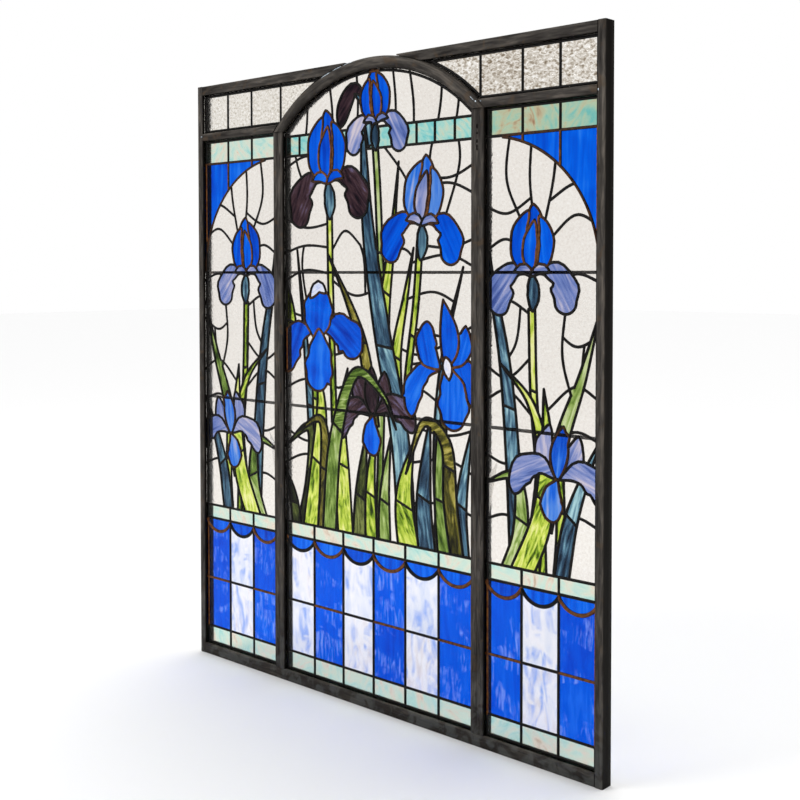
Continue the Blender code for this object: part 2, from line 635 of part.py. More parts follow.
def draw_top_light():
    # upright lines that carry on the columns of the side light below, and one over the mullion
    outline = top_light_outline(PANEL_BITE)
    drawing = Drawing(outline, 0.0, 1.0, 1.0)
    columns = column_edges(MULLION_OUTER, STILE_INNER, SIDE_COLUMNS)
    drawing.split([MULLION_OFFSET] + columns[1:-1], outline[-2].y, outline[-1].y)
    return drawing


def lead_runs(drawing):
    # the drawing's arrangement of triangles, and the edges that carry lead
    points, faces, edges, owner = [], [], [], []
    for outline in drawing.layers:
        faces.append(list(range(len(points), len(points) + len(outline))))
        points += outline
    for layer, line in drawing.lines:
        for i in range(len(line) - 1):
            edges.append((len(points) + i, len(points) + i + 1))
            owner.append(layer)
        points += line
    points, out_edges, triangles, _, came_from, _ = delaunay_2d_cdt(points, edges, faces, 0, MERGE, True)
    drawn = {}
    for edge, sources in zip(out_edges, came_from):
        layers = {owner[i] for i in sources if i < len(edges)}
        if layers:
            drawn[frozenset(edge)] = layers
    top = [top_layer(drawing.layers, sum((points[i] for i in t), Vector((0, 0))) / 3) for t in triangles]
    beside = {}
    for number, triangle in enumerate(triangles):
        for pair in triangle_edges(triangle):
            beside.setdefault(pair, []).append(number)
    lead = set()
    for pair, sides in beside.items():
        layers = {top[number] for number in sides}
        if max(layers) < 0:
            continue
        if len(layers) > 1 or len(sides) == 1 or layers & drawn.get(pair, set()):
            lead.add(pair)
    return points, triangles, beside, top, lead


def triangle_edges(triangle):
    a, b, c = triangle
    return frozenset((a, b)), frozenset((b, c)), frozenset((c, a))


def top_layer(layers, point):
    if not winding(point, layers[0]):
        return -1
    for number in range(len(layers) - 1, -1, -1):
        if winding(point, layers[number]):
            return number
    return -1


def panes(triangles, beside, top, lead):
    # triangles joined wherever no lead runs between them
    pane_of = {}
    groups = []
    for first in range(len(triangles)):
        if first in pane_of or top[first] < 0:
            continue
        pane_of[first] = len(groups)
        group = [first]
        for number in group:
            for pair in triangle_edges(triangles[number]):
                if pair in lead:
                    continue
                for other in beside[pair]:
                    if other not in pane_of:
                        pane_of[other] = len(groups)
                        group.append(other)
        groups.append(group)
    return pane_of, groups


def join_splinters(points, triangles, beside, top, lead):
    # a pane too small to cut joins the neighbour along its longest run of lead
    while True:
        pane_of, groups = panes(triangles, beside, top, lead)
        joined = False
        for group in groups:
            size = sum(abs((points[b] - points[a]).cross(points[c] - points[a])) / 2
                       for a, b, c in (triangles[n] for n in group))
            if size > LEAST_PANE:
                continue
            here = pane_of[group[0]]
            shared = {}
            for number in group:
                for pair in triangle_edges(triangles[number]):
                    for other in beside[pair]:
                        if pane_of.get(other, here) != here:
                            shared.setdefault(pane_of[other], []).append(pair)
            if not shared:
                continue
            ends = {pane: sum((points[a] - points[b]).length for a, b in pairs) for pane, pairs in shared.items()}
            lead -= set(shared[max(ends, key=ends.get)])
            joined = True
            break
        if not joined:
            return


def drop_loose_ends(lead):
    while True:
        count = {}
        for pair in lead:
            for point in pair:
                count[point] = count.get(point, 0) + 1
        loose = {pair for pair in lead if any(count[point] == 1 for point in pair)}
        if not loose:
            return
        lead -= loose


def straighten(points, lead):
    # runs between joints lose the points that hardly bend them
    near = {}
    for pair in lead:
        a, b = pair
        near.setdefault(a, set()).add(b)
        near.setdefault(b, set()).add(a)
    changed = True
    while changed:
        changed = False
        for point in list(near):
            if len(near[point]) != 2:
                continue
            a, b = near[point]
            along = points[b] - points[a]
            if b in near[a] or along.length < TOUCHING:
                continue
            if abs(along.cross(points[point] - points[a])) / along.length < STRAIGHTEN:
                near[a].discard(point)
                near[b].discard(point)
                near[a].add(b)
                near[b].add(a)
                del near[point]
                changed = True
    return near


def network_loops(points, near):
    # the loops round each pane, anticlockwise, found by always taking the next lead to the left
    order = {}
    for point, others in near.items():
        order[point] = sorted(others, key=lambda o: math.atan2((points[o] - points[point]).y,
                                                               (points[o] - points[point]).x))
    unused = {(a, b) for a, others in near.items() for b in others}
    loops = []
    while unused:
        start = min(unused)
        loop = []
        a, b = start
        while (a, b) in unused:
            unused.discard((a, b))
            loop.append(a)
            ring = order[b]
            a, b = b, ring[(ring.index(a) - 1) % len(ring)]
        if signed_area([points[i] for i in loop]) > 0:
            loops.append(loop)
    return loops


def pane_opening(loop, outline):
    # the daylight of a pane: half a lead in from each side, or the border's width along the outline
    distances = []
    for here, after in zip(loop, loop[1:] + loop[:1]):
        middle = (here + after) / 2
        border = any(distance_to_side(middle, a, b) < TOUCHING for a, b in zip(outline, outline[1:] + outline[:1]))
        distances.append(PANEL_BITE + BORDER_LEAD_SHOWS if border else LEAD_WIDTH / 2)
    opening = []
    for i, here in enumerate(loop):
        arriving = (here - loop[i - 1]).normalized()
        leaving = (loop[(i + 1) % len(loop)] - here).normalized()
        a = Vector((-arriving.y, arriving.x))
        b = Vector((-leaving.y, leaving.x))
        spread = a.cross(b)
        if abs(spread) < NEARLY_STRAIGHT:
            opening.append(here + a * max(distances[i - 1], distances[i]))
        else:
            shift = Vector((b.y * distances[i - 1] - a.y * distances[i],
                            a.x * distances[i] - b.x * distances[i - 1])) / spread
            opening.append(here + shift)
    return opening


def distance_to_side(point, a, b):
    along = b - a
    share = max(0.0, min(1.0, (point - a).dot(along) / along.length_squared))
    return (a + along * share - point).length


def add_leading(name, drawing, side, parent):
    points, triangles, beside, top, lead = lead_runs(drawing)
    join_splinters(points, triangles, beside, top, lead)
    drop_loose_ends(lead)
    loops = network_loops(points, straighten(points, lead))
    outline = drawing.layers[0]
    openings = [pane_opening([points[i] for i in loop], outline) for loop in loops]
    corners, edges = [], []
    for ring in [outline] + openings:
        start = len(corners)
        corners += ring
        edges += [(start + i, start + (i + 1) % len(ring)) for i in range(len(ring))]
    corners, _, triangles, _, _, _ = delaunay_2d_cdt(corners, edges, [], 0, MERGE, True)
    bm = bmesh.new()
    used = {}
    for triangle in triangles:
        middle = sum((corners[i] for i in triangle), Vector((0, 0))) / 3
        if not winding(middle, outline) or any(winding(middle, ring) > 0 for ring in openings):
            continue
        for i in triangle:
            if i not in used:
                x = side * corners[i].x - parent.location.x
                used[i] = bm.verts.new((x, GLASS_FRONT - JOINT_GAP - LEAD_RISE, corners[i].y))
        bm.faces.new([used[i] for i in triangle])
    sweep(bm, bm.faces[:], (0.0, LEAD_RISE, 0.0))
    return add_object(name, bm, "leading", parent)


# Saddle bars

def add_saddle_bars(word, left, right, parent):
    front = GLASS_BACK + JOINT_GAP
    for number, height in enumerate(SADDLE_BAR_HEIGHTS):
        low = height - SADDLE_BAR_FACE / 2
        outline = box(left + JOINT_GAP, low, right - JOINT_GAP, low + SADDLE_BAR_FACE)
        prism(f"{word}_saddle_bar_{number + 1}", outline, front, front + SADDLE_BAR_DEPTH, "dark_metal", parent)


# Build

def clear_scene():
    for obj in list(bpy.data.objects):
        bpy.data.objects.remove(obj)


def main():
    clear_scene()
    frame = add_empty("frame", 0.0)
    add_frame(frame, groove_cutter(frame))
    centre = add_empty("centre_light", 0.0)
    add_centre_glass(centre)
    add_leading("centre_leading", draw_centre_light(), 1, centre)
    add_saddle_bars("centre", -MULLION_INNER, MULLION_INNER, centre)
    side_drawing = draw_side_light()
    top_drawing = draw_top_light()
    for side, word in ((-1, "left"), (1, "right")):
        light = add_empty(f"{word}_light", side * (MULLION_OUTER + STILE_INNER) / 2)
        add_side_glass(side, word, light)
        add_leading(f"{word}_leading", side_drawing, side, light)
        add_leading(f"{word}_top_leading", top_drawing, side, light)
        left, right = sorted((side * MULLION_OUTER, side * STILE_INNER))
        add_saddle_bars(word, left, right, light)


main()
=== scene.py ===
import math
import random

import bmesh
import bpy
from mathutils import Matrix, Vector, noise
from mathutils.geometry import delaunay_2d_cdt


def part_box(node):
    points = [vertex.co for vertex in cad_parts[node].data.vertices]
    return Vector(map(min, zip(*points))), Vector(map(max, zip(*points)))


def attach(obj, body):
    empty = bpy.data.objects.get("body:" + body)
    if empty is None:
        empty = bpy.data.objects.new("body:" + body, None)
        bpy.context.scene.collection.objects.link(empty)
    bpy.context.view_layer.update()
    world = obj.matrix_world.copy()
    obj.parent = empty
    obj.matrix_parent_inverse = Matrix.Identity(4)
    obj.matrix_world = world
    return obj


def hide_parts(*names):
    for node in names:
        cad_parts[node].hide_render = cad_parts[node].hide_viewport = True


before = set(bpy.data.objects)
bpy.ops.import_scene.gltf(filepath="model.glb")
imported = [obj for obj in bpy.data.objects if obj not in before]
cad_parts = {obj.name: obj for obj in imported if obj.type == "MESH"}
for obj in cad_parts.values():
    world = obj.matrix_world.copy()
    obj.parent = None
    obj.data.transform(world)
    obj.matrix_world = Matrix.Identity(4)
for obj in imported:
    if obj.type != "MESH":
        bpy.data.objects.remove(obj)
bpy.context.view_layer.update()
dice = random.Random(27)


def side(node, end, axis):
    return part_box(node)[end][axis]


# Places read off the CAD frame: x across, z up, and the front faces -y
sill = side("bottom_rail", 1, 2)
stileInner = side("right_stile", 0, 0)
mullionInner = side("right_mullion", 0, 0)
mullionOuter = side("right_mullion", 1, 0)
transomLow = side("right_transom", 0, 2)
transomTop = side("right_transom", 1, 2)
railLow = side("right_top_rail", 0, 2)
frameTop = side("right_stile", 1, 2)
frameHalf = side("right_stile", 1, 0)
frameFront = side("right_stile", 0, 1)
frameBack = side("right_stile", 1, 1)
archFront = side("arch_bar", 0, 1)
glassFront = side("right_picture", 0, 1)
glassBack = side("right_picture", 1, 1)
glassMiddle = (glassFront + glassBack) / 2
leadProud = glassFront - side("right_leading", 0, 1)
baseLine = side("right_base_band", 1, 2)
swagLine = side("right_middle_band", 0, 2)
pictureBase = side("right_middle_band", 1, 2)
spandrelTop = side("right_upper_band", 0, 2)
bite = sill - side("right_base_band", 0, 2)
crown = side("arch_bar", 1, 2)
archRise = crown - transomLow
archSpan = side("arch_bar", 1, 0)
archOuter = (archSpan ** 2 + archRise ** 2) / (2 * archRise)
archCentre = crown - archOuter
archInner = side("centre_picture", 1, 2) - bite - archCentre
sideWidth = stileInner - mullionOuter

bands = {
    "lowerCheck": 0.155,
    "headBand": 0.058,
    "swagDrop": 0.040,
    "swagCusp": 0.006,
    "sideColumns": 3,
    "centreColumns": 6,
}
checkLine = baseLine + bands["lowerCheck"]
print("frame loaded")


# Materials: a value is one socket, and sums on values add Math nodes

class Value:
    def __init__(self, finish, socket):
        self.finish = finish
        self.socket = socket

    def maths(self, operation, a, b=0.0):
        return self.finish.node("ShaderNodeMath", {"operation": operation}, {0: a, 1: b})

    def __add__(self, other):
        return self.maths("ADD", self, other)

    __radd__ = __add__

    def __sub__(self, other):
        return self.maths("SUBTRACT", self, other)

    def __rsub__(self, other):
        return self.maths("SUBTRACT", other, self)

    def __mul__(self, other):
        return self.maths("MULTIPLY", self, other)

    __rmul__ = __mul__

    def size(self):
        return self.maths("ABSOLUTE", self)

    def most(self, other):
        return self.maths("MAXIMUM", self, other)

    def between(self, low, high):
        # 0 below low, 1 above high, smooth between
        return self.finish.node("ShaderNodeMapRange", {"interpolation_type": "SMOOTHSTEP"},
                                {"Value": self, "From Min": low, "From Max": high})


class Finish:
    def __init__(self, name, plain):
        self.material = bpy.data.materials.new(name)
        self.material.use_nodes = True
        self.tree = self.material.node_tree
        self.shader = self.tree.nodes["Principled BSDF"]
        for socket, value in plain.items():
            self.shader.inputs[socket].default_value = value

    def node(self, kind, settings=None, sockets=None, output=0):
        node = self.tree.nodes.new(kind)
        for key, value in (settings or {}).items():
            if key == "stops":
                self.setStops(node.color_ramp, value)
            else:
                setattr(node, key, value)
        for key, value in (sockets or {}).items():
            if isinstance(value, Value):
                self.tree.links.new(value.socket, node.inputs[key])
            else:
                node.inputs[key].default_value = value
        return Value(self, node.outputs[output])

    def setStops(self, ramp, stops):
        while len(ramp.elements) < len(stops):
            ramp.elements.new(1.0)
        for element, (position, colour) in zip(ramp.elements, stops):
            element.position = position
            element.color = colour

    def feed(self, socket, value):
        self.tree.links.new(value.socket, self.shader.inputs[socket])

    def sheet(self):
        return self.node("ShaderNodeUVMap", {"uv_map": "sheet"})

    def place(self):
        return self.node("ShaderNodeTexCoord", output="Object")

    def attribute(self, name):
        return self.node("ShaderNodeAttribute", {"attribute_name": name}, output="Fac")

    def axis(self, vector, number):
        return self.node("ShaderNodeSeparateXYZ", {}, {0: vector}, number)

    def cloud(self, vector, scale, detail=2.0, warp=0.0):
        # a pair of scales draws the cloud out into streaks
        if isinstance(scale, tuple):
            vector = self.node("ShaderNodeMapping", {}, {"Vector": vector, "Scale": (*scale, 1.0)})
            scale = 1.0
        return self.node("ShaderNodeTexNoise", {}, {"Vector": vector, "Scale": scale, "Detail": detail,
                                                    "Distortion": warp})

    def mix(self, factor, a, b):
        return self.node("ShaderNodeMix", {"data_type": "RGBA"}, {0: factor, 6: a, 7: b}, 2)

    def relief(self, height, strength, distance):
        self.feed("Normal", self.node("ShaderNodeBump", {}, {"Height": height, "Strength": strength,
                                                             "Distance": distance}))


def tint(red, green, blue, gain=1.0):
    # a colour as it reads on screen, made linear
    linear = [((c / 255 + 0.055) / 1.055) ** 2.4 if c > 10 else c / 255 / 12.92 for c in (red, green, blue)]
    return (*[min(1.0, c * gain) for c in linear], 1.0)


# Glass: tones run from the darkest streak to the palest, and streaks are scales across and along the pane

glassPlain = {"rough": 0.16, "ripple": 0.3, "grain": 60, "vary": 1.0, "drift": 0.3}
glasses = {
    "ground": {"tones": [(206, 200, 192), (229, 223, 216), (237, 233, 227), (246, 244, 241)],
               "streaks": (150, 130), "spread": 1.3, "sway": 0.2, "rough": 0.02, "ripple": 0.35, "grain": 190,
               "vary": 0.4, "drift": 0.12},
    "hammered": {"tones": [(166, 156, 140), (218, 212, 202), (238, 234, 227), (250, 248, 245)],
                 "streaks": (160, 130), "spread": 2.1, "sway": 0.5, "rough": 0.02, "ripple": 0.6,
                 "grain": 150, "vary": 0.2, "drift": 0.05},
    "rippled": {"tones": [(120, 104, 84), (190, 181, 168), (230, 225, 217), (251, 249, 246)],
                "streaks": (155, 100), "spread": 2.7, "sway": 0.9, "rough": 0.02, "ripple": 0.6, "grain": 110,
                "vary": 0.2, "drift": 0.04},
    "cobalt": {"tones": [(0, 50, 170), (0, 76, 206), (0, 96, 228), (40, 122, 236)], "streaks": (70, 5),
               "spread": 2.4, "sway": 0.5, "rough": 0.14},
    "royal": {"tones": [(0, 58, 196), (0, 76, 214), (0, 88, 224), (24, 106, 234)], "streaks": (75, 9),
              "spread": 1.7, "sway": 0.8, "rough": 0.14, "wisps": (120, 150, 240), "strands": (110, 16),
              "cover": 0.5},
    "white": {"tones": [(204, 214, 240), (224, 228, 242), (238, 238, 246), (226, 220, 226)],
              "streaks": (34, 12), "spread": 1.9, "sway": 1.2, "rough": 0.2, "grain": 50,
              "wisps": (142, 170, 238), "strands": (30, 9), "cover": 0.42},
    "teal": {"tones": [(164, 214, 208), (190, 220, 210), (208, 222, 206), (224, 214, 198), (198, 174, 150)],
             "streaks": (30, 14), "spread": 2.5, "sway": 1.8, "rough": 0.2, "grain": 50, "vary": 0.45},
    "aqua": {"tones": [(100, 188, 194), (130, 202, 200), (164, 212, 202), (196, 212, 192), (200, 180, 150)],
             "streaks": (34, 16), "spread": 2.5, "sway": 1.8, "rough": 0.2, "grain": 50, "vary": 0.5},
    "sage": {"tones": [(112, 184, 178), (148, 192, 174), (176, 194, 166), (186, 178, 146), (158, 120, 92)],
             "streaks": (34, 16), "spread": 2.6, "sway": 1.8, "rough": 0.2, "grain": 50, "vary": 0.5},
    "lavender": {"tones": [(60, 80, 146), (104, 124, 184), (150, 156, 198), (208, 198, 208)],
                 "streaks": (95, 7), "spread": 2.7, "sway": 0.9},
    "cornflower": {"tones": [(0, 66, 186), (26, 100, 214), (86, 138, 218), (164, 172, 216)],
                   "streaks": (90, 7), "spread": 2.5, "sway": 0.9},
    "plum": {"tones": [(18, 12, 20), (46, 30, 38), (70, 50, 54), (104, 94, 126)], "streaks": (90, 10),
             "spread": 3.2, "sway": 1.8, "rough": 0.18, "ripple": 0.4},
    "slate": {"tones": [(16, 26, 40), (46, 72, 96), (90, 130, 150), (164, 202, 208)], "streaks": (90, 8),
              "spread": 3.0, "sway": 1.4, "rough": 0.18, "ripple": 0.4},
    "lime": {"tones": [(30, 46, 6), (106, 140, 30), (174, 196, 64), (212, 222, 104), (232, 232, 160)],
             "streaks": (70, 11), "spread": 3.3, "sway": 2.2, "vary": 1.3},
    "olive": {"tones": [(20, 20, 6), (72, 70, 24), (128, 120, 44), (188, 176, 96)], "streaks": (75, 12),
              "spread": 3.0, "sway": 1.8, "rough": 0.18, "ripple": 0.4},
    "moss": {"tones": [(8, 10, 4), (32, 38, 14), (66, 76, 32), (120, 130, 70)], "streaks": (75, 12),
             "spread": 2.8, "sway": 1.8, "rough": 0.18, "ripple": 0.4},
    "fern": {"tones": [(34, 54, 12), (92, 120, 44), (144, 168, 88), (200, 210, 158)], "streaks": (75, 9),
             "spread": 3.1, "sway": 1.8, "rough": 0.18, "vary": 1.3},
}
blueGlasses = {"cobalt", "royal", "cornflower"}
clearGlasses = {"ground", "hammered", "rippled"}
melt = {
    "clearIor": 1.4,
    "tintedIor": 1.18,         # low, so that the panes hardly mirror the pale room
    "through": 1.02,           # makes up for what the two faces of a pane send back
    "driftScale": 11.0,
    "driftSway": 0.6,
    "strandSway": 1.2,
    "gatherSway": 0.8,
    "waveSway": 0.3,
    "strandEdges": (0.44, 0.72),
    "gatherScale": (10.0, 14.0),
    "gatherEdge": 0.1,
    "lowerReflection": 0.07,       # more lilac streaks in the lower checks: a painted reflection
    "beltReflection": 0.1,         # and about the line between the checks, also a painted reflection
    "beltReflectionEdges": (0.055, 0.01),
    "waveDepth": 0.002,
}
glassFinishes = {}


def glassFinish(glass):
    if glass in glassFinishes:
        return glassFinishes[glass]
    look = {**glassPlain, **glasses[glass]}
    ior = melt["clearIor"] if glass in clearGlasses else melt["tintedIor"]
    finish = Finish(glass + "Glass", {"Roughness": look["rough"], "Transmission Weight": 1.0, "IOR": ior})
    sheet, place = finish.sheet(), finish.place()
    streak = finish.cloud(sheet, look["streaks"], 3.0, look["sway"])
    drift = finish.cloud(sheet, melt["driftScale"], 1.0, melt["driftSway"])
    mottle = streak * (1 - look["drift"]) + drift * look["drift"]
    level = (mottle - 0.5) * look["spread"] + 0.5 + finish.attribute("tone") * look["vary"]
    last = len(look["tones"]) - 1
    stops = [(i / last, tint(*tone, melt["through"])) for i, tone in enumerate(look["tones"])]
    colour = finish.node("ShaderNodeValToRGB", {"stops": stops}, {"Fac": level})
    # lilac streaks in the glass, laid on partly as a painted reflection
    if "wisps" in look:
        height = finish.axis(place, 2)
        gatheredAndReflected = finish.cloud(sheet, melt["gatherScale"], 2.0, melt["gatherSway"])
        # painted reflection: more streaks low down and about the line between the checks
        gatheredAndReflected = gatheredAndReflected + height.between(checkLine, baseLine) * melt["lowerReflection"]
        gatheredAndReflected = gatheredAndReflected + (height - checkLine).size().between(*melt["beltReflectionEdges"]) * melt["beltReflection"]
        strands = finish.cloud(sheet, look["strands"], 4.0, melt["strandSway"])
        share = strands.between(*melt["strandEdges"])
        share = share * gatheredAndReflected.between(look["cover"], look["cover"] + melt["gatherEdge"])
        colour = finish.mix(share, colour, tint(*look["wisps"], melt["through"]))
    finish.feed("Base Color", colour)
    waves = finish.cloud(place, look["grain"], 2.0, melt["waveSway"])
    finish.relief(waves, look["ripple"], melt["waveDepth"])
    glassFinishes[glass] = finish
    return finish


leadLook = {
    "black": ((4, 3, 3), (22, 18, 15)),
    "blackEdges": (0.35, 0.7),
    "brown": ((80, 44, 18), (124, 78, 36)),
    "brownEdges": (0.35, 0.65),
    "patches": 90.0,
    "fine": 420.0,
    "patchRelief": 0.6,
    "fineRelief": 0.4,
    "rough": 0.35,
    "patchRough": 0.3,
    "relief": (0.35, 0.001),   # strength and depth
}


def leadFinish():
    # black patina on solder, worn to copper brown where both neighbours are blue, and partly beside a petal
    finish = Finish("leadBead", {"Metallic": 0.2, "Specular IOR Level": 0.2})
    place = finish.place()
    patches = finish.cloud(place, leadLook["patches"], 3.0)
    fine = finish.cloud(place, leadLook["fine"])
    black = finish.mix(patches.between(*leadLook["blackEdges"]), *[tint(*tone) for tone in leadLook["black"]])
    brown = finish.mix(patches.between(*leadLook["brownEdges"]), *[tint(*tone) for tone in leadLook["brown"]])
    finish.feed("Base Color", finish.mix(finish.attribute("copper"), black, brown))
    finish.feed("Roughness", leadLook["rough"] + patches * leadLook["patchRough"])
    bumps = patches * leadLook["patchRelief"] + fine * leadLook["fineRelief"]
    finish.relief(bumps, *leadLook["relief"])
    return finish


metal = {
    "deep": (38, 35, 33),
    "face": (76, 72, 68),
    # the pale tone of wear, and of the painted highlights on tops and at the rim
    "worn": (118, 110, 101),
    "rust": (92, 74, 56),
    # painted shade: the tone of the sides, reveals and undersides of the bars
    "side": (14, 11, 8),
    "foot": (82, 84, 83),
    "streaks": (16.0, 120.0),
    "broadStreaks": (5.0, 40.0),
    "blots": 26.0,
    "specks": 260.0,
    "rim": (0.012, 0.007),     # where the wear and painted highlight of the outer edge start and are full, in from the edge
    "footHeight": 0.3,
    "streakWear": 0.55,
    "broadWear": 0.45,
    # wear and a painted highlight along the outer rim
    "rimWearAndHighlight": 0.08,
    # painted highlight: upward faces paler, as if lit from above
    "topHighlight": 0.12,
    "faceEdges": (0.3, 0.62),
    "wornAndHighlightEdges": (0.5, 0.8),
    "rustEdges": (0.56, 0.74),
    "rustShare": 0.5,
    "rustLessAtFoot": 0.4,
    "footEdges": (0.4, 0.6),
    "footShare": 0.6,
    "rough": 0.38,
    "streakRough": 0.3,
    "streakRelief": 0.5,
    "blotRelief": 0.3,
    "speckRelief": 0.2,
    "relief": (0.5, 0.002),
}


def metalFinish(name, lift=0.0):
    # dark patina drawn out along each bar, blotchy at the foot; painted highlight on top, wear and a painted
    # highlight at the rim, painted shade on the sides and undersides
    finish = Finish(name, {"Specular IOR Level": 0.05})
    grain, place = finish.sheet(), finish.place()
    streak = finish.cloud(grain, metal["streaks"], 4.0, 0.8)
    broad = finish.cloud(grain, metal["broadStreaks"], 2.0, 0.5)
    blots = finish.cloud(place, metal["blots"], 4.0, 0.8)
    specks = finish.cloud(place, metal["specks"])
    normal = finish.node("ShaderNodeNewGeometry", output="Normal")
    facing = finish.axis(normal, 1).size()
    upward = finish.axis(normal, 2).most(0.0)
    # painted shade on faces that turn away from the front and not upwards
    flankShade = (1.0 - facing) * (1.0 - upward)
    rimStart, rimFull = (frameHalf - inward for inward in metal["rim"])
    # the outer rim of the front: wear with a painted highlight
    rim = finish.axis(place, 0).size().between(rimStart, rimFull) * facing
    foot = finish.axis(place, 2).between(metal["footHeight"], 0.0)
    wearAndHighlight = streak * metal["streakWear"] + broad * metal["broadWear"] + lift
    # painted highlight on tops; wear and a painted highlight at the outer rim
    wearAndHighlight = wearAndHighlight + rim * metal["rimWearAndHighlight"] + upward * metal["topHighlight"]
    colour = finish.mix(wearAndHighlight.between(*metal["faceEdges"]), tint(*metal["deep"]), tint(*metal["face"]))
    colour = finish.mix(wearAndHighlight.between(*metal["wornAndHighlightEdges"]), colour, tint(*metal["worn"]))
    rusty = blots.between(*metal["rustEdges"]) * (metal["rustShare"] - foot * metal["rustLessAtFoot"])
    colour = finish.mix(rusty, colour, tint(*metal["rust"]))
    blotchy = finish.mix(blots.between(*metal["footEdges"]), tint(*metal["foot"]), tint(*metal["deep"]))
    colour = finish.mix(foot * metal["footShare"], colour, blotchy)
    # the dark side tone mixed in here is painted shade
    finish.feed("Base Color", finish.mix(flankShade, colour, tint(*metal["side"])))
    finish.feed("Roughness", metal["rough"] + streak * metal["streakRough"])
    bumps = streak * metal["streakRelief"] + blots * metal["blotRelief"] + specks * metal["speckRelief"]
    finish.relief(bumps, *metal["relief"])
    return finish


# bright bluish solder, partly a painted highlight in place of glints
solderGlintLook = {
    "bright": (214, 226, 236),
    "dull": (120, 128, 136),
    "dullEdges": (0.4, 0.65),
    "patches": 120.0,
    "rough": 0.25,
    "patchRough": 0.3,
    "relief": (0.5, 0.001),
}


def solderGlintFinish():
    finish = Finish("solderAndGlint", {"Metallic": 1.0})
    patches = finish.cloud(finish.place(), solderGlintLook["patches"], 3.0)
    dull = patches.between(*solderGlintLook["dullEdges"])
    finish.feed("Base Color", finish.mix(dull, tint(*solderGlintLook["bright"]), tint(*solderGlintLook["dull"])))
    finish.feed("Roughness", solderGlintLook["rough"] + patches * solderGlintLook["patchRough"])
    finish.relief(patches, *solderGlintLook["relief"])
    return finish


frameMetal = metalFinish("frameMetal")
barSteel = metalFinish("barSteel", -0.12)
leadBead = leadFinish()
solderAndGlint = solderGlintFinish()
print("finishes made")


# Pieces

def asMesh(bm, name):
    mesh = bpy.data.meshes.new(name)
    bm.to_mesh(mesh)
    bm.free()
    return mesh


def linked(name, data):
    holder = bpy.data.objects.new(name, data)
    bpy.context.scene.collection.objects.link(holder)
    return holder


def applied(holder):
    # an object's finished mesh, and the object is gone
    mesh = bpy.data.meshes.new_from_object(holder.evaluated_get(bpy.context.evaluated_depsgraph_get()))
    bpy.data.objects.remove(holder)
    return mesh


def addPiece(bm, name, finish, nodes=()):
    mesh = asMesh(bm, name)
    mesh.materials.append(finish.material)
    piece = linked(name, mesh)
    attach(piece, "root")
    if nodes:
        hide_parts(*nodes)


# Outlines in the plane of the window, anticlockwise from the front

drawn = {
    "step": 0.008,
    "fineStep": 0.008 / 6,     # for the middle line of a leaf or a petal
    "smallestPane": 1.4e-4,
    "merge": 1e-5,
    "leadWidth": 0.0080,
    "borderLead": 0.0055,      # from the frame's edge to the middle of the border bead
    "halfCopper": 0.3,
    "paneGap": 0.0007,
    "shortEdge": 0.0018,
    "paneTilt": 0.003,
    "toneSpread": 0.22,
    "lightTip": 0.008,
    "thinTip": 0.004,
    "hairpin": 0.2,            # a corner sharper than this isn't mitred
    "mitreLimit": 0.35,
    "pointWidth": 0.0008,      # below this half width the two sides of a blade meet
    "ruffleWave": 6 * math.pi,
    "ruffleShift": 1.3,        # so that the two sides of a petal don't ruffle together
    "leafBelly": 1.2,
    "leafBreaks": (0.45,),
    "stemBreaks": (0.35, 0.7),
    "breakSlant": 0.4,
    "breakReach": 0.6,
}


def arc(centreX, centreZ, radius, start, end, step=drawn["step"]):
    count = max(4, round(abs(end - start) * radius / step))
    turns = [start + (end - start) * i / count for i in range(count + 1)]
    return [Vector((centreX + radius * math.cos(t), centreZ + radius * math.sin(t))) for t in turns]


def box(left, bottom, right, top):
    return [Vector((left, bottom)), Vector((right, bottom)), Vector((right, top)), Vector((left, top))]


def mirrored(outline):
    return [Vector((-p.x, p.y)) for p in reversed(outline)]


def neighbours(outline):
    return zip(outline[-1:] + outline[:-1], outline, outline[1:] + outline[:1])


def inset(outline, distance):
    moved = []
    for before, here, after in neighbours(outline):
        arriving = (here - before).normalized()
        leaving = (after - here).normalized()
        inward = Vector((-arriving.y, arriving.x))
        half = inward + Vector((-leaving.y, leaving.x))
        if half.length < drawn["hairpin"]:
            moved.append(here - arriving * distance)
        else:
            half.normalize()
            moved.append(here + half * (distance / max(drawn["mitreLimit"], half.dot(inward))))
    return moved


def sideOutline(grow):
    return box(mullionOuter - grow, sill - grow, stileInner + grow, transomLow + grow)


def centreOutline(grow):
    halfWidth = mullionInner + grow
    radius = archInner + grow
    angle = math.acos(halfWidth / radius)
    head = arc(0.0, archCentre, radius, angle, math.pi - angle)
    return [Vector((-halfWidth, sill - grow)), Vector((halfWidth, sill - grow))] + head


def turnAt(height, radius):
    return math.asin((height - archCentre) / radius)


def archEnded(radius, low, high, right, tip=0.0, step=drawn["step"]):
    # from the arch to the right, with a blunt tip where the arch would leave it a thin one
    curve = arc(0.0, archCentre, radius, turnAt(high - tip, radius), turnAt(low, radius), step)
    corner = [Vector((curve[0].x, high))] if tip else []
    return corner + curve + [Vector((right, low)), Vector((right, high))]


def topOutline(grow):
    return archEnded(archOuter - grow, transomTop - grow, railLow + grow, stileInner + grow,
                     drawn["lightTip"])


def smoothCurve(points, step=drawn["fineStep"]):
    # a Catmull-Rom curve through the points
    points = [Vector(p) for p in points]
    padded = [2 * points[0] - points[1]] + points + [2 * points[-1] - points[-2]]
    curve = []
    for a, b, c, d in zip(padded, padded[1:], padded[2:], padded[3:]):
        count = max(2, round((c - b).length / step))
        for i in range(count):
            t = i / count
            curve.append(0.5 * (2 * b + (c - a) * t + (2 * a - 5 * b + 4 * c - d) * t ** 2
                                + (3 * b - a - 3 * c + d) * t ** 3))
    return curve + [points[-1]]


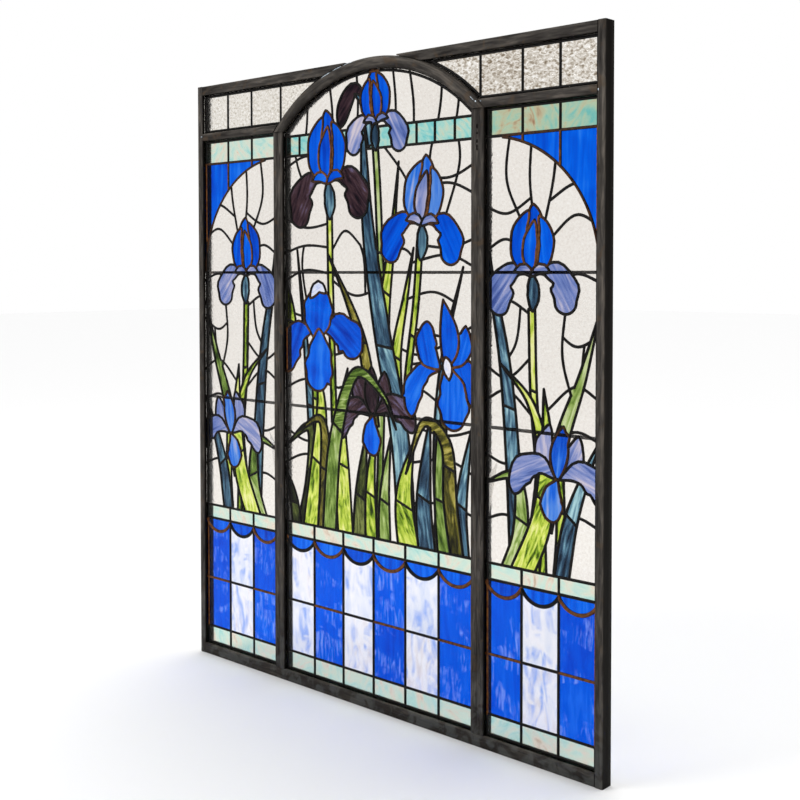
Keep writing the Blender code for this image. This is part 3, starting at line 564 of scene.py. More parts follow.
def blade(spine, width, halfWidth, even=False, ruffle=0.0):
    # the outline of a leaf, stem or petal: a width that varies along a curved spine
    fine = smoothCurve(spine)
    reached = [0.0]
    for a, b in zip(fine, fine[1:]):
        reached.append(reached[-1] + (b - a).length)
    count = max(4, round(reached[-1] / drawn["step"]))
    left, right = [], []
    k = 0
    for i in range(count + 1):
        share = i / count if even else (1 - math.cos(math.pi * i / count)) / 2
        while k < len(fine) - 2 and reached[k + 1] < share * reached[-1]:
            k += 1
        along = (share * reached[-1] - reached[k]) / (reached[k + 1] - reached[k])
        here = fine[k].lerp(fine[k + 1], along)
        heading = (fine[min(k + 2, len(fine) - 1)] - fine[max(k - 1, 0)]).normalized()
        aside = Vector((-heading.y, heading.x)) * (width / 2 * halfWidth(share))
        wave = drawn["ruffleWave"] * share
        left.append(here + aside * (1 + ruffle * math.cos(wave)))
        if aside.length > drawn["pointWidth"]:
            right.append(here - aside * (1 + ruffle * math.cos(wave + drawn["ruffleShift"])))
    return left + right[::-1]


def petalWidth(belly, bluntness):
    power = math.log(0.5) / math.log(belly)
    return lambda share: max(0.0, math.sin(math.pi * share ** power)) ** bluntness


def leafWidth(root, point):
    def width(share):
        swell = math.sin(math.pi * min(1, share * drawn["leafBelly"]))
        return (1 - share ** point) * (root + (1 - root) * swell)

    return width


# Petals of a generic iris: part, spine in shares of its height, width, belly, bluntness, ruffle
uprightBloom = [
    ("backFall", [(-0.03, 0.03), (-0.20, 0.06), (-0.38, -0.06), (-0.42, -0.40)], 0.32, 0.70, 0.50, 0.10),
    ("backFall", [(0.03, 0.03), (0.20, 0.06), (0.37, -0.04), (0.43, -0.37)], 0.31, 0.70, 0.50, 0.10),
    ("calyx", [(0.00, 0.02), (0.02, -0.16), (0.01, -0.35)], 0.145, 0.50, 0.60, 0.05),
    ("backStandard", [(0.02, 0.08), (0.05, 0.40), (0.01, 0.72)], 0.22, 0.60, 0.70, 0.05),
    ("backStandard", [(-0.04, 0.01), (-0.16, 0.20), (-0.15, 0.46), (-0.04, 0.66)], 0.20, 0.52, 0.70, 0.05),
    ("backStandard", [(0.04, 0.01), (0.16, 0.20), (0.17, 0.42), (0.09, 0.60)], 0.18, 0.52, 0.70, 0.05),
    ("standard", [(0.00, 0.00), (-0.03, 0.26), (0.03, 0.56)], 0.18, 0.50, 0.80, 0.04),
    ("arm", [(0.02, 0.00), (-0.10, 0.08), (-0.22, 0.05)], 0.10, 0.50, 0.80, 0.0),
    ("arm", [(-0.02, 0.00), (0.10, 0.08), (0.22, 0.04)], 0.10, 0.50, 0.80, 0.0),
]
facingBloom = [
    ("backFall", [(-0.08, 0.06), (-0.26, 0.02), (-0.38, -0.12), (-0.42, -0.36)], 0.31, 0.62, 0.50, 0.08),
    ("backFall", [(0.08, 0.08), (0.26, 0.10), (0.42, 0.02), (0.52, -0.14)], 0.34, 0.60, 0.50, 0.10),
    ("standard", [(0.00, -0.02), (-0.01, 0.22), (0.00, 0.46)], 0.38, 0.56, 0.48, 0.05),
    ("signal", [(-0.12, 0.36), (-0.02, 0.47), (0.09, 0.42)], 0.11, 0.50, 0.70, 0.0),
    ("fall", [(0.01, 0.08), (0.03, -0.20), (0.00, -0.50)], 0.36, 0.62, 0.48, 0.07),
]
turnedBloom = [
    ("backFall", [(-0.04, 0.00), (-0.24, -0.02), (-0.38, -0.18), (-0.42, -0.42)], 0.22, 0.60, 0.60, 0.08),
    ("backFall", [(0.06, 0.02), (0.24, -0.02), (0.32, -0.16), (0.30, -0.34)], 0.22, 0.60, 0.60, 0.08),
    ("backStandard", [(0.06, 0.00), (0.22, 0.14), (0.27, 0.36)], 0.18, 0.55, 0.80, 0.05),
    ("backStandard", [(-0.05, 0.00), (-0.19, 0.16), (-0.17, 0.42)], 0.24, 0.55, 0.60, 0.06),
    ("standard", [(0.02, 0.00), (0.08, 0.24), (0.03, 0.60)], 0.21, 0.42, 0.95, 0.0),
    ("fall", [(0.02, 0.04), (0.08, -0.22), (0.07, -0.54)], 0.34, 0.62, 0.50, 0.08),
    ("signal", [(0.02, 0.10), (0.04, 0.00), (0.05, -0.10)], 0.11, 0.45, 0.80, 0.0),
]
droopingBloom = [
    ("backStandard", [(-0.03, 0.02), (-0.17, 0.22), (-0.12, 0.50)], 0.20, 0.50, 0.75, 0.05),
    ("backStandard", [(0.03, 0.02), (0.15, 0.20), (0.20, 0.44)], 0.20, 0.50, 0.75, 0.05),
    ("standard", [(0.00, 0.00), (0.00, 0.22), (0.03, 0.50)], 0.19, 0.50, 0.80, 0.0),
    ("backFall", [(-0.02, 0.02), (-0.22, 0.12), (-0.40, 0.02), (-0.48, -0.20)], 0.25, 0.62, 0.60, 0.08),
    ("backFall", [(0.02, 0.02), (0.22, 0.12), (0.42, 0.04), (0.52, -0.16)], 0.25, 0.62, 0.60, 0.08),
    ("fall", [(0.00, 0.02), (-0.05, -0.16), (-0.02, -0.38)], 0.24, 0.62, 0.60, 0.06),
]
blueBloom = {"backFall": "cobalt", "fall": "cobalt", "backStandard": "cobalt", "standard": "cobalt",
             "arm": "lavender", "signal": "white", "calyx": "slate"}


class Drawing:
    # layers of glass over one light, the last on top, placed by shares of the picture field
    def __init__(self, glass, outline, centreX, halfWidth, height):
        self.layers = []
        self.boxes = []
        self.lines = []
        self.centreX = centreX
        self.halfWidth = halfWidth
        self.height = height
        self.add(glass, outline)

    def spot(self, across, up):
        return Vector((self.centreX + across * self.halfWidth, pictureBase + up * self.height))

    def add(self, glass, outline):
        xs, zs = [p.x for p in outline], [p.y for p in outline]
        self.layers.append((glass, outline))
        self.boxes.append((min(xs), min(zs), max(xs), max(zs)))

    def leaf(self, glass, spine, width, root=1.0, point=2.2):
        line = [self.spot(*p) for p in spine]
        self.add(glass, blade(line, width, leafWidth(root, point), True))
        self.breakAcross(line, width, drawn["leafBreaks"])

    def stem(self, glass, spine, width=0.020):
        line = [self.spot(*p) for p in spine]
        self.add(glass, blade(line, width, lambda share: 1.0, True))
        self.breakAcross(line, width, drawn["stemBreaks"])

    def breakAcross(self, line, width, shares):
        # a slanting lead across the leaf just added, at each share of its length
        fine = smoothCurve(line)
        for share in shares:
            k = round(share * (len(fine) - 2))
            heading = (fine[k + 1] - fine[k]).normalized()
            aside = Vector((-heading.y, heading.x)) + heading * drawn["breakSlant"]
            aside = aside * width * drawn["breakReach"]
            self.lines.append((len(self.layers) - 1, [fine[k] - aside, fine[k] + aside]))

    def cut(self, *spine):
        # a curved break line in the clear ground
        self.lines.append((0, smoothCurve([self.spot(*p) for p in spine], drawn["step"])))

    def split(self, xs, bottom, top):
        for x in xs:
            self.lines.append((len(self.layers) - 1, [Vector((x, bottom)), Vector((x, top))]))

    def bloom(self, petals, across, up, tall, lean, glass, flip=1):
        turn = Matrix.Rotation(math.radians(lean), 2)
        for part, spine, width, belly, bluntness, ruffle in petals:
            line = [self.spot(across, up) + turn @ Vector((x * flip, z)) * tall for x, z in spine]
            self.add(glass[part], blade(line, width * tall, petalWidth(belly, bluntness), False, ruffle))


def columns(left, right, count):
    return [left + (right - left) * i / count for i in range(count + 1)]


def drawBands(drawing, left, right, count, firstBlue):
    # from the picture down: a teal band, scalloped swags, two rows of checks and the base band
    xs = columns(left, right, count)
    ends = [left - bite] + xs[1:-1] + [right + bite]
    drawing.add("teal", box(ends[0], swagLine, ends[-1], pictureBase))
    drawing.split(xs[1:-1], swagLine, pictureBase)
    for number in range(count):
        glass = "royal" if firstBlue == (number % 2 == 0) else "white"
        for low, high in ((baseLine, checkLine), (checkLine, swagLine)):
            drawing.add(glass, box(ends[number], low, ends[number + 1], high))
    sag = bands["swagDrop"] - bands["swagCusp"]
    for number in range(count):
        span = xs[number + 1] - xs[number]
        radius = (span ** 2 / 4 + sag ** 2) / (2 * sag)
        reach = math.asin(span / 2 / radius)
        curve = arc(xs[number] + span / 2, swagLine - bands["swagDrop"] + radius, radius,
                    -math.pi / 2 - reach, -math.pi / 2 + reach)
        top = [Vector((ends[number + 1], swagLine)), Vector((ends[number], swagLine))]
        cusps = [Vector((ends[number], curve[0].y)), *curve, Vector((ends[number + 1], curve[-1].y))]
        drawing.add("cobalt", top + cusps)
    drawing.add("teal", box(ends[0], sill - bite, ends[-1], baseLine))
    drawing.split(xs[1:-1], sill - bite, baseLine)


def drawSide():
    # the right light; the left one is its mirror image
    drawing = Drawing("ground", sideOutline(bite), (mullionOuter + stileInner) / 2, sideWidth / 2,
                      spandrelTop - pictureBase)
    for low, high in ((-0.7, -0.55), (-0.25, -0.15), (0.15, 0.3), (0.5, 0.75)):
        drawing.cut((high, 1.02), ((low + high) / 2, 0.9), (low * 0.5, 0.8))
    for up, rise in ((0.86, 0.02), (0.78, 0.03), (0.66, 0.02), (0.55, -0.03), (0.40, 0.03), (0.31, 0.02),
                     (0.12, 0.02)):
        drawing.cut((1.05, up), (0.6, up + rise), (0.1, up - rise))
    for up, rise in ((0.84, -0.02), (0.73, 0.03), (0.60, 0.02), (0.47, -0.03), (0.38, 0.03), (0.26, -0.02),
                     (0.10, 0.02)):
        drawing.cut((-1.05, up), (-0.6, up + rise), (-0.1, up - rise))
    for line in (((0.45, 0.62), (0.38, 0.50), (0.55, 0.40)), ((-0.35, 0.62), (-0.45, 0.52), (-0.75, 0.46)),
                 ((0.78, 0.56), (0.70, 0.42), (0.80, 0.33)), ((-0.60, 0.42), (-0.45, 0.30), (-0.62, 0.18))):
        drawing.cut(*line)
    drawing.leaf("slate", [(-0.40, -0.02), (-0.50, 0.25), (-0.66, 0.48), (-0.95, 0.70), (-1.00, 0.84)], 0.046)
    drawing.leaf("fern", [(0.10, 0.10), (0.36, 0.30), (0.72, 0.45), (1.02, 0.60)], 0.046, 0.8)
    drawing.stem("lime", [(0.06, -0.02), (0.00, 0.20), (-0.12, 0.40), (-0.16, 0.60)])
    drawing.leaf("lime", [(-0.14, 0.00), (0.04, 0.24), (-0.16, 0.38), (-0.72, 0.47)], 0.046, 0.9)
    drawing.stem("lime", [(0.30, -0.02), (0.36, 0.10), (0.34, 0.22)], 0.024)
    drawing.leaf("slate", [(0.35, -0.03), (0.52, 0.12), (0.80, 0.24), (1.04, 0.32)], 0.046, 0.9)
    drawing.leaf("fern", [(-0.66, -0.04), (-0.36, 0.08), (-0.44, 0.21), (-1.03, 0.19)], 0.052, 0.9)
    drawing.leaf("lime", [(-0.40, -0.03), (0.02, 0.12), (0.12, 0.28), (0.06, 0.42)], 0.066)
    drawing.bloom(droopingBloom, 0.30, 0.215, 0.27, -4,
                  dict(blueBloom, backFall="lavender", fall="cornflower", backStandard="lavender",
                       standard="cornflower"))
    drawing.bloom(uprightBloom, -0.16, 0.675, 0.245, 0,
                  dict(blueBloom, backFall="lavender", fall="cornflower"))
    xs = columns(mullionOuter, stileInner, bands["sideColumns"])[1:-1]
    low = spandrelTop - sideWidth
    quarter = arc(mullionOuter, low, sideWidth, math.asin(1 - drawn["thinTip"] / sideWidth), 0.0)
    right = stileInner + bite
    drawing.add("cobalt", [Vector((right, low)), Vector((right, spandrelTop)),
                           Vector((quarter[0].x, spandrelTop))] + quarter)
    drawing.split(xs, low, spandrelTop)
    drawing.add("teal", box(mullionOuter - bite, spandrelTop, right, transomLow + bite))
    drawing.split(xs, spandrelTop, transomLow + bite)
    drawBands(drawing, mullionOuter, stileInner, bands["sideColumns"], True)
    return drawing


def drawCentre():
    drawing = Drawing("ground", centreOutline(bite), 0.0, mullionInner, archCentre + archInner - pictureBase)
    headTop = spandrelTop + bands["headBand"]
    drawing.add("aqua", box(-mullionInner - bite, spandrelTop, mullionInner + bite, headTop))
    drawing.split([share * mullionInner for share in (-0.83, -0.62, 0.22, 0.45, 0.63, 0.82)],
                  spandrelTop, headTop)
    for low, high in ((-0.78, -0.75), (-0.45, -0.5), (-0.2, -0.18), (0.22, 0.2), (0.42, 0.36), (0.62, 0.7),
                      (0.8, 0.86)):
        drawing.cut((low, 0.83), ((low + high) / 2 + 0.03, 0.92), (high, 1.02))
    for up, rise in ((0.80, 0.03), (0.70, -0.03), (0.61, 0.02), (0.545, 0.03), (0.49, -0.02), (0.30, 0.03),
                     (0.22, -0.03), (0.13, 0.03)):
        drawing.cut((-1.05, up), (-0.75, up + rise), (-0.35, up + rise * 0.5))
    for up, rise in ((0.79, -0.03), (0.72, 0.03), (0.64, -0.02), (0.575, 0.03), (0.47, -0.03), (0.37, 0.02),
                     (0.26, -0.02), (0.16, 0.03), (0.08, 0.02)):
        drawing.cut((1.05, up), (0.75, up + rise), (0.35, up + rise * 0.4))
    for line in (((0.10, 0.84), (0.30, 0.78), (0.50, 0.70)), ((0.62, 0.85), (0.58, 0.80), (0.55, 0.70)),
                 ((0.85, 0.85), (0.86, 0.78), (0.70, 0.66)), ((-0.20, 0.66), (-0.10, 0.60), (-0.08, 0.50)),
                 ((-0.90, 0.85), (-0.80, 0.78), (-0.55, 0.70)), ((-0.75, 0.66), (-0.80, 0.58), (-0.70, 0.45)),
                 ((-0.05, 0.62), (0.30, 0.62), (0.42, 0.60)), ((0.20, 0.50), (0.60, 0.53), (0.90, 0.50)),
                 ((-0.50, 0.56), (-0.20, 0.52), (0.10, 0.54)), ((-0.55, 0.30), (-0.30, 0.32), (-0.10, 0.30)),
                 ((-0.55, 0.38), (-0.25, 0.40), (0.00, 0.42)), ((0.20, 0.30), (0.45, 0.33), (0.70, 0.30)),
                 ((0.20, 0.42), (0.45, 0.40), (0.70, 0.42)), ((-0.45, 0.62), (-0.30, 0.66), (-0.10, 0.62))):
        drawing.cut(*line)
    # tall blades and stems, from back to front
    drawing.leaf("slate", [(-0.62, -0.02), (-0.70, 0.25), (-0.78, 0.45), (-0.86, 0.62)], 0.034, 0.7)
    drawing.leaf("slate", [(0.70, -0.02), (0.66, 0.20), (0.72, 0.40), (0.90, 0.58)], 0.036, 0.7)
    drawing.leaf("lime", [(-0.98, 0.36), (-0.94, 0.44), (-0.97, 0.52), (-1.04, 0.58)], 0.050, 0.5)
    drawing.stem("lime", [(-0.40, -0.02), (-0.44, 0.30), (-0.47, 0.55), (-0.48, 0.70)])
    drawing.stem("lime", [(0.28, -0.02), (0.34, 0.30), (0.44, 0.50), (0.48, 0.62)])
    drawing.stem("fern", [(0.05, -0.02), (0.10, 0.40), (0.06, 0.70), (0.02, 0.86)])
    drawing.stem("olive", [(0.64, -0.02), (0.70, 0.20), (0.74, 0.36)], 0.022)
    drawing.stem("lime", [(-0.60, -0.02), (-0.64, 0.20), (-0.66, 0.42)], 0.022)
    drawing.leaf("lime", [(0.14, 0.30), (0.12, 0.48), (0.20, 0.64), (0.27, 0.80)], 0.042, 0.6)
    drawing.leaf("olive", [(0.02, 0.24), (-0.10, 0.40), (-0.26, 0.50), (-0.50, 0.61)], 0.042, 0.7)
    drawing.leaf("lime", [(0.30, 0.20), (0.24, 0.38), (0.34, 0.52), (0.42, 0.62)], 0.042, 0.8)
    drawing.leaf("slate", [(0.36, -0.02), (0.28, 0.22), (0.08, 0.46), (-0.06, 0.68), (-0.12, 0.94)],
                 0.066, 1.0, 3)
    # the low cluster
    drawing.leaf("moss", [(-0.84, -0.04), (-0.70, 0.10), (-0.72, 0.22), (-1.02, 0.17)], 0.055, 0.8)
    drawing.leaf("moss", [(-0.86, -0.03), (-0.92, 0.06), (-1.03, 0.13)], 0.040, 0.8)
    drawing.leaf("lime", [(-0.72, -0.03), (-0.62, 0.14), (-0.58, 0.27), (-0.63, 0.36)], 0.066, 1.0, 3)
    drawing.leaf("olive", [(-0.56, -0.03), (-0.53, 0.12), (-0.58, 0.24), (-0.86, 0.21)], 0.055, 0.9)
    drawing.leaf("lime", [(-0.30, -0.03), (-0.34, 0.12), (-0.36, 0.24), (-0.28, 0.36)], 0.060, 1.0, 3)
    drawing.leaf("moss", [(-0.15, -0.03), (-0.13, 0.10), (-0.08, 0.22)], 0.055)
    drawing.leaf("lime", [(-0.02, -0.03), (-0.03, 0.12), (0.03, 0.24)], 0.045)
    drawing.leaf("fern", [(0.12, -0.03), (0.12, 0.10), (0.18, 0.22)], 0.045)
    drawing.leaf("slate", [(0.56, -0.03), (0.52, 0.10), (0.58, 0.27)], 0.060)
    drawing.leaf("lime", [(0.38, -0.03), (0.32, 0.10), (0.42, 0.22)], 0.075)
    drawing.leaf("fern", [(0.74, -0.03), (0.68, 0.12), (0.66, 0.27)], 0.050)
    drawing.leaf("slate", [(0.90, -0.03), (0.88, 0.10), (0.98, 0.26)], 0.046)
    drawing.leaf("olive", [(0.86, -0.03), (0.78, 0.10), (0.74, 0.22), (0.52, 0.26), (0.34, 0.15)], 0.050, 0.8)
    drawing.stem("slate", [(-0.02, 0.84), (-0.08, 0.92), (-0.16, 0.955)], 0.024)
    bud = [drawing.spot(*p) for p in ((-0.09, 0.945), (-0.20, 0.965), (-0.30, 0.935), (-0.36, 0.885))]
    drawing.add("plum", blade(bud, 0.052, petalWidth(0.62, 0.55)))
    # blooms
    drawing.bloom(droopingBloom, 0.00, 0.26, 0.28, 6,
                  dict(blueBloom, backFall="plum", backStandard="plum", standard="plum"))
    drawing.leaf("fern", [(-0.50, -0.03), (-0.42, 0.20), (-0.20, 0.35), (0.10, 0.31), (0.24, 0.24)],
                 0.055, 0.95)
    drawing.bloom(facingBloom, -0.62, 0.425, 0.31, -3, blueBloom)
    drawing.bloom(turnedBloom, 0.72, 0.375, 0.30, 4, blueBloom)
    drawing.bloom(uprightBloom, 0.50, 0.665, 0.26, -4,
                  dict(blueBloom, backStandard="cornflower", standard="lavender"))
    drawing.bloom(uprightBloom, -0.50, 0.765, 0.29, 3,
                  dict(blueBloom, backFall="plum", fall="plum", arm="cobalt"))
    drawing.bloom(uprightBloom, 0.03, 0.885, 0.21, 2,
                  dict(blueBloom, backFall="lavender", fall="lavender"), -1)
    drawBands(drawing, -mullionInner, mullionInner, bands["centreColumns"], False)
    return drawing


def drawTop():
    # upright leads that carry on the columns below, and one over the mullion
    drawing = Drawing("hammered", topOutline(bite), 0.0, 1.0, 1.0)
    xs = [(mullionInner + mullionOuter) / 2] + columns(mullionOuter, stileInner, bands["sideColumns"])[1:-1]
    drawing.split(xs, transomTop - bite, railLow + bite)
    return drawing


# From layers to panes and leads: lead runs where two layers meet

def winding(point, outline):
    turns = 0
    before = outline[-1]
    for here in outline:
        if (before.y <= point.y) != (here.y <= point.y):
            lean = (here - before).cross(point - before)
            if here.y > before.y and lean > 0:
                turns += 1
            elif here.y < before.y and lean < 0:
                turns -= 1
        before = here
    return turns


def topLayer(drawing, point):
    for number in range(len(drawing.layers) - 1, 0, -1):
        left, low, right, high = drawing.boxes[number]
        if left <= point.x <= right and low <= point.y <= high and winding(point, drawing.layers[number][1]):
            return number if winding(point, drawing.layers[0][1]) else -1
    return 0 if winding(point, drawing.layers[0][1]) else -1


def edgesOf(triangle):
    a, b, c = triangle
    return (a, b), (b, c), (c, a)


def groupPanes(triangles, beside, top, lead):
    # triangles joined wherever no lead runs between them
    paneOf, groups = {}, []
    for first in range(len(triangles)):
        if first in paneOf or top[first] < 0:
            continue
        paneOf[first] = len(groups)
        group = [first]
        for number in group:
            for pair in edgesOf(triangles[number]):
                if frozenset(pair) in lead:
                    continue
                for other in beside[frozenset(pair)]:
                    if other not in paneOf:
                        paneOf[other] = len(groups)
                        group.append(other)
        groups.append(group)
    return paneOf, groups


def joinSplinters(points, triangles, beside, top, lead):
    # each pane too small to cut joins the neighbour along its longest lead
    paneOf, groups = groupPanes(triangles, beside, top, lead)
    joined = set()
    for group in groups:
        size = sum(abs((points[b] - points[a]).cross(points[c] - points[a])) / 2
                   for a, b, c in (triangles[n] for n in group))
        if size > drawn["smallestPane"]:
            continue
        here, shared = paneOf[group[0]], {}
        for number in group:
            for a, b in edgesOf(triangles[number]):
                pair = frozenset((a, b))
                for other in beside[pair]:
                    if paneOf.get(other, here) != here:
                        length, pairs = shared.get(paneOf[other], (0.0, []))
                        shared[paneOf[other]] = (length + (points[a] - points[b]).length, pairs + [pair])
        if not shared:
            continue
        best = max(shared, key=lambda pane: shared[pane][0])
        if here in joined or best in joined:
            continue
        joined |= {here, best}
        lead -= set(shared[best][1])
        for number in group:
            top[number] = top[groups[best][0]]
    return bool(joined)


def dropLooseEnds(lead):
    while True:
        count = {}
        for pair in lead:
            for point in pair:
                count[point] = count.get(point, 0) + 1
        loose = {pair for pair in lead if any(count[point] == 1 for point in pair)}
        if not loose:
            return
        lead -= loose


def paneLoop(points, triangles, group, lead):
    # the lead edges round a pane, anticlockwise, chained into its outline
    onward = {}
    for number in group:
        triangle = triangles[number]
        a, b, c = (points[i] for i in triangle)
        if (b - a).cross(c - a) < 0:
            triangle = triangle[::-1]
        for start, end in edgesOf(triangle):
            if frozenset((start, end)) in lead:
                onward.setdefault(start, []).append(end)
    start = next(iter(onward))
    loop, here = [start], onward[start].pop()
    while here != start:
        loop.append(here)
        here = onward[here].pop()
    return [points[i] for i in loop]


def arrange(drawing):
    # the panes as (glass, outline), and a lead network {pair of points: how far it is worn to copper}
    points, faces, edges, owner = [], [], [], []
    for _, outline in drawing.layers:
        faces.append(list(range(len(points), len(points) + len(outline))))
        points += outline
    for layer, line in drawing.lines:
        for i in range(len(line) - 1):
            edges.append((len(points) + i, len(points) + i + 1))
            owner.append(layer)
        points += line
    cut = delaunay_2d_cdt(points, edges, faces, 0, drawn["merge"], True)
    points, outEdges, triangles, _, cameFrom, _ = cut
    cutIn = {}
    for edge, sources in zip(outEdges, cameFrom):
        layers = {owner[i] for i in sources if i < len(edges)}
        if layers:
            cutIn[frozenset(edge)] = layers
    top = [topLayer(drawing, sum((points[i] for i in t), Vector((0, 0))) / 3) for t in triangles]
    beside = {}
    for number, triangle in enumerate(triangles):
        for pair in edgesOf(triangle):
            beside.setdefault(frozenset(pair), []).append(number)
    lead = set()
    for pair, sides in beside.items():
        layers = {top[number] for number in sides}
        if max(layers) >= 0 and (len(layers) > 1 or len(sides) == 1 or layers & cutIn.get(pair, set())):
            lead.add(pair)
    while joinSplinters(points, triangles, beside, top, lead):
        pass
    dropLooseEnds(lead)
    _, groups = groupPanes(triangles, beside, top, lead)
    glassOf = [drawing.layers[number][0] for number in top]
    panes = [(glassOf[group[0]], paneLoop(points, triangles, group, lead)) for group in groups]
    network = {}
    for pair in lead:
        sides = [number for number in beside[pair] if top[number] >= 0]
        if len(sides) == 2:
            blues = sum(glassOf[number] in blueGlasses for number in sides)
            half = drawn["halfCopper"] if min(points[i].y for i in pair) > pictureBase else 0.0
            network[pair] = (0.0, half, 1.0)[blues]
    addBorder(drawing, points, network)
    return points, panes, network


def addBorder(drawing, points, network):
    # the lead along the frame, copper brown wherever it holds blue glass
    corners = inset(drawing.layers[0][1], bite + drawn["borderLead"])
    ring = []
    for here, after in zip(corners, corners[1:] + corners[:1]):
        count = max(1, round((after - here).length / drawn["step"]))
        ring += [here.lerp(after, i / count) for i in range(count)]
    inner = inset(ring, drawn["step"])
    start = len(points)
    points += ring
    for i, (near, after) in enumerate(zip(inner, inner[1:] + inner[:1])):
        layer = topLayer(drawing, (near + after) / 2)
        blue = layer >= 0 and drawing.layers[layer][0] in blueGlasses
        network[frozenset((start + i, start + (i + 1) % len(ring)))] = float(blue)


# Panes: slabs cut a little smaller than their outline, each tilted and toned by chance

turned = {
    "upright": 0.06,           # how far from plumb, level or lengthwise the streaks of a pane may lean
    "level": 0.1,
    "lengthwise": 0.12,
    "spandrelEdge": 0.003,
}


def sheetAxis(outline, glass, centre):
    # streaks run along a petal or a leaf, up the checks and spandrels, and any way in the ground
    onSpandrel = max(p.y for p in outline) > spandrelTop - turned["spandrelEdge"]
    if glass in ("royal", "white", "cobalt") and (centre.y < pictureBase or onSpandrel):
        return math.pi / 2 + dice.uniform(-turned["upright"], turned["upright"])
    if glass == "rippled":
        return dice.uniform(-turned["level"], turned["level"])
    if glass in ("ground", "hammered", "teal", "aqua", "sage"):
        return dice.uniform(0.0, math.pi)
    offsets = [p - centre for p in outline]
    spreadX, spreadZ = sum(p.x * p.x for p in offsets), sum(p.y * p.y for p in offsets)
    both = sum(p.x * p.y for p in offsets)
    lengthwise = 0.5 * math.atan2(2 * both, spreadX - spreadZ)
    return lengthwise + dice.uniform(-turned["lengthwise"], turned["lengthwise"])


def withoutShortEdges(outline):
    kept = outline[:1]
    for point in outline[1:]:
        if min((point - kept[-1]).length, (point - outline[0]).length) > drawn["shortEdge"]:
            kept.append(point)
    return kept


def addPane(bm, outline, glass, uv, tone):
    outline = inset(withoutShortEdges(outline), drawn["paneGap"])
    centre = sum(outline, Vector((0, 0))) / len(outline)
    tiltX, tiltZ = (dice.uniform(-1, 1) * drawn["paneTilt"] for _ in range(2))
    near, far = [], []
    for p in outline:
        lean = (p.x - centre.x) * tiltX + (p.y - centre.y) * tiltZ
        near.append(bm.verts.new((p.x, glassFront + lean, p.y)))
        far.append(bm.verts.new((p.x, glassBack + lean, p.y)))
    faces = [bm.faces.new(near), bm.faces.new(far[::-1])]
    for i in range(len(near)):
        faces.append(bm.faces.new((near[i], near[i - 1], far[i - 1], far[i])))
    angle = sheetAxis(outline, glass, centre)
    along = Vector((math.cos(angle), math.sin(angle)))
    across = Vector((-along.y, along.x))
    shift = Vector((dice.uniform(0, 9), dice.uniform(0, 9)))
    shade = dice.uniform(-1, 1) * drawn["toneSpread"]
    for face in faces:
        face[tone] = shade
        for loop in face.loops:
            offset = loop.vert.co.xz - centre
            loop[uv].uv = (offset.dot(across) + shift.x, offset.dot(along) + shift.y)


def addPanes(light, panes, mirror, nodesOf):
    # one piece for each kind of glass in the light
    for glass in sorted({kind for kind, _ in panes}):
        bm = bmesh.new()
        uv = bm.loops.layers.uv.new("sheet")
        tone = bm.faces.layers.float.new("tone")
        for kind, outline in panes:
            if kind == glass:
                addPane(bm, mirrored(outline) if mirror else outline, glass, uv, tone)
        name = light + glass.capitalize() + "Panes"
        addPiece(bm, name, glassFinish(glass), nodesOf.get(glass, ()))


# Leads: round solder beads along every run, with a blob where runs meet

beads = {
    "sides": 2,
    "swell": 0.09,
    "swells": 70,              # how close together the swells are
    "swagWidth": 1.3,
    "swagEdges": (0.002, 0.004),
    "shortRun": 4,
    "blob": 1.08,
    "cornerTurn": math.radians(42),
}


def leadRuns(points, network):
    near = {}
    for pair in network:
        a, b = pair
        near.setdefault(a, []).append(b)
        near.setdefault(b, []).append(a)

    def isEnd(point):
        if len(near[point]) != 2:
            return True
        a, b = near[point]
        if network[frozenset((a, point))] != network[frozenset((b, point))]:
            return True
        return (points[point] - points[a]).angle(points[b] - points[point]) > beads["cornerTurn"]

    ends = {point for point in near if isEnd(point)}
    left = set(network)
    runs = []
    for start in sorted(ends) + sorted(near):
        for step in near[start]:
            if frozenset((start, step)) not in left:
                continue
            worn = network[frozenset((start, step))]
            run, before, here = [start], start, step
            left.discard(frozenset((start, step)))
            while here not in ends and here != start:
                run.append(here)
                before, here = here, next(p for p in near[here] if p != before)
                left.discard(frozenset((before, here)))
            runs.append((worn, [points[i] for i in run + [here]]))
    return runs, [points[i] for i in sorted(ends)]


def beadMesh(runs, name):
    curve = bpy.data.curves.new(name, "CURVE")
    curve.dimensions = "3D"
    curve.bevel_depth = drawn["leadWidth"] / 2
    curve.bevel_resolution = beads["sides"]
    curve.use_fill_caps = True
    under, over = beads["swagEdges"]
    for run in runs:
        spline = curve.splines.new("POLY")
        spline.points.add(len(run) - 1)
        middle = run[len(run) // 2]
        onSwag = swagLine - bands["swagDrop"] - under < middle.y < swagLine - over
        wider = beads["swagWidth"] if onSwag and len(run) > beads["shortRun"] else 1.0
        for spot, place in zip(spline.points, run):
            spot.co = (place.x, glassMiddle, place.y, 1.0)
            wave = noise.noise(Vector((place.x, place.y, 0.0)) * beads["swells"])
            spot.radius = wider + beads["swell"] * wave
    return applied(linked(name, curve))


def blobMesh():
    bm = bmesh.new()
    bmesh.ops.create_uvsphere(bm, u_segments=8, v_segments=5, radius=drawn["leadWidth"] / 2 * beads["blob"])
    return asMesh(bm, "blob")


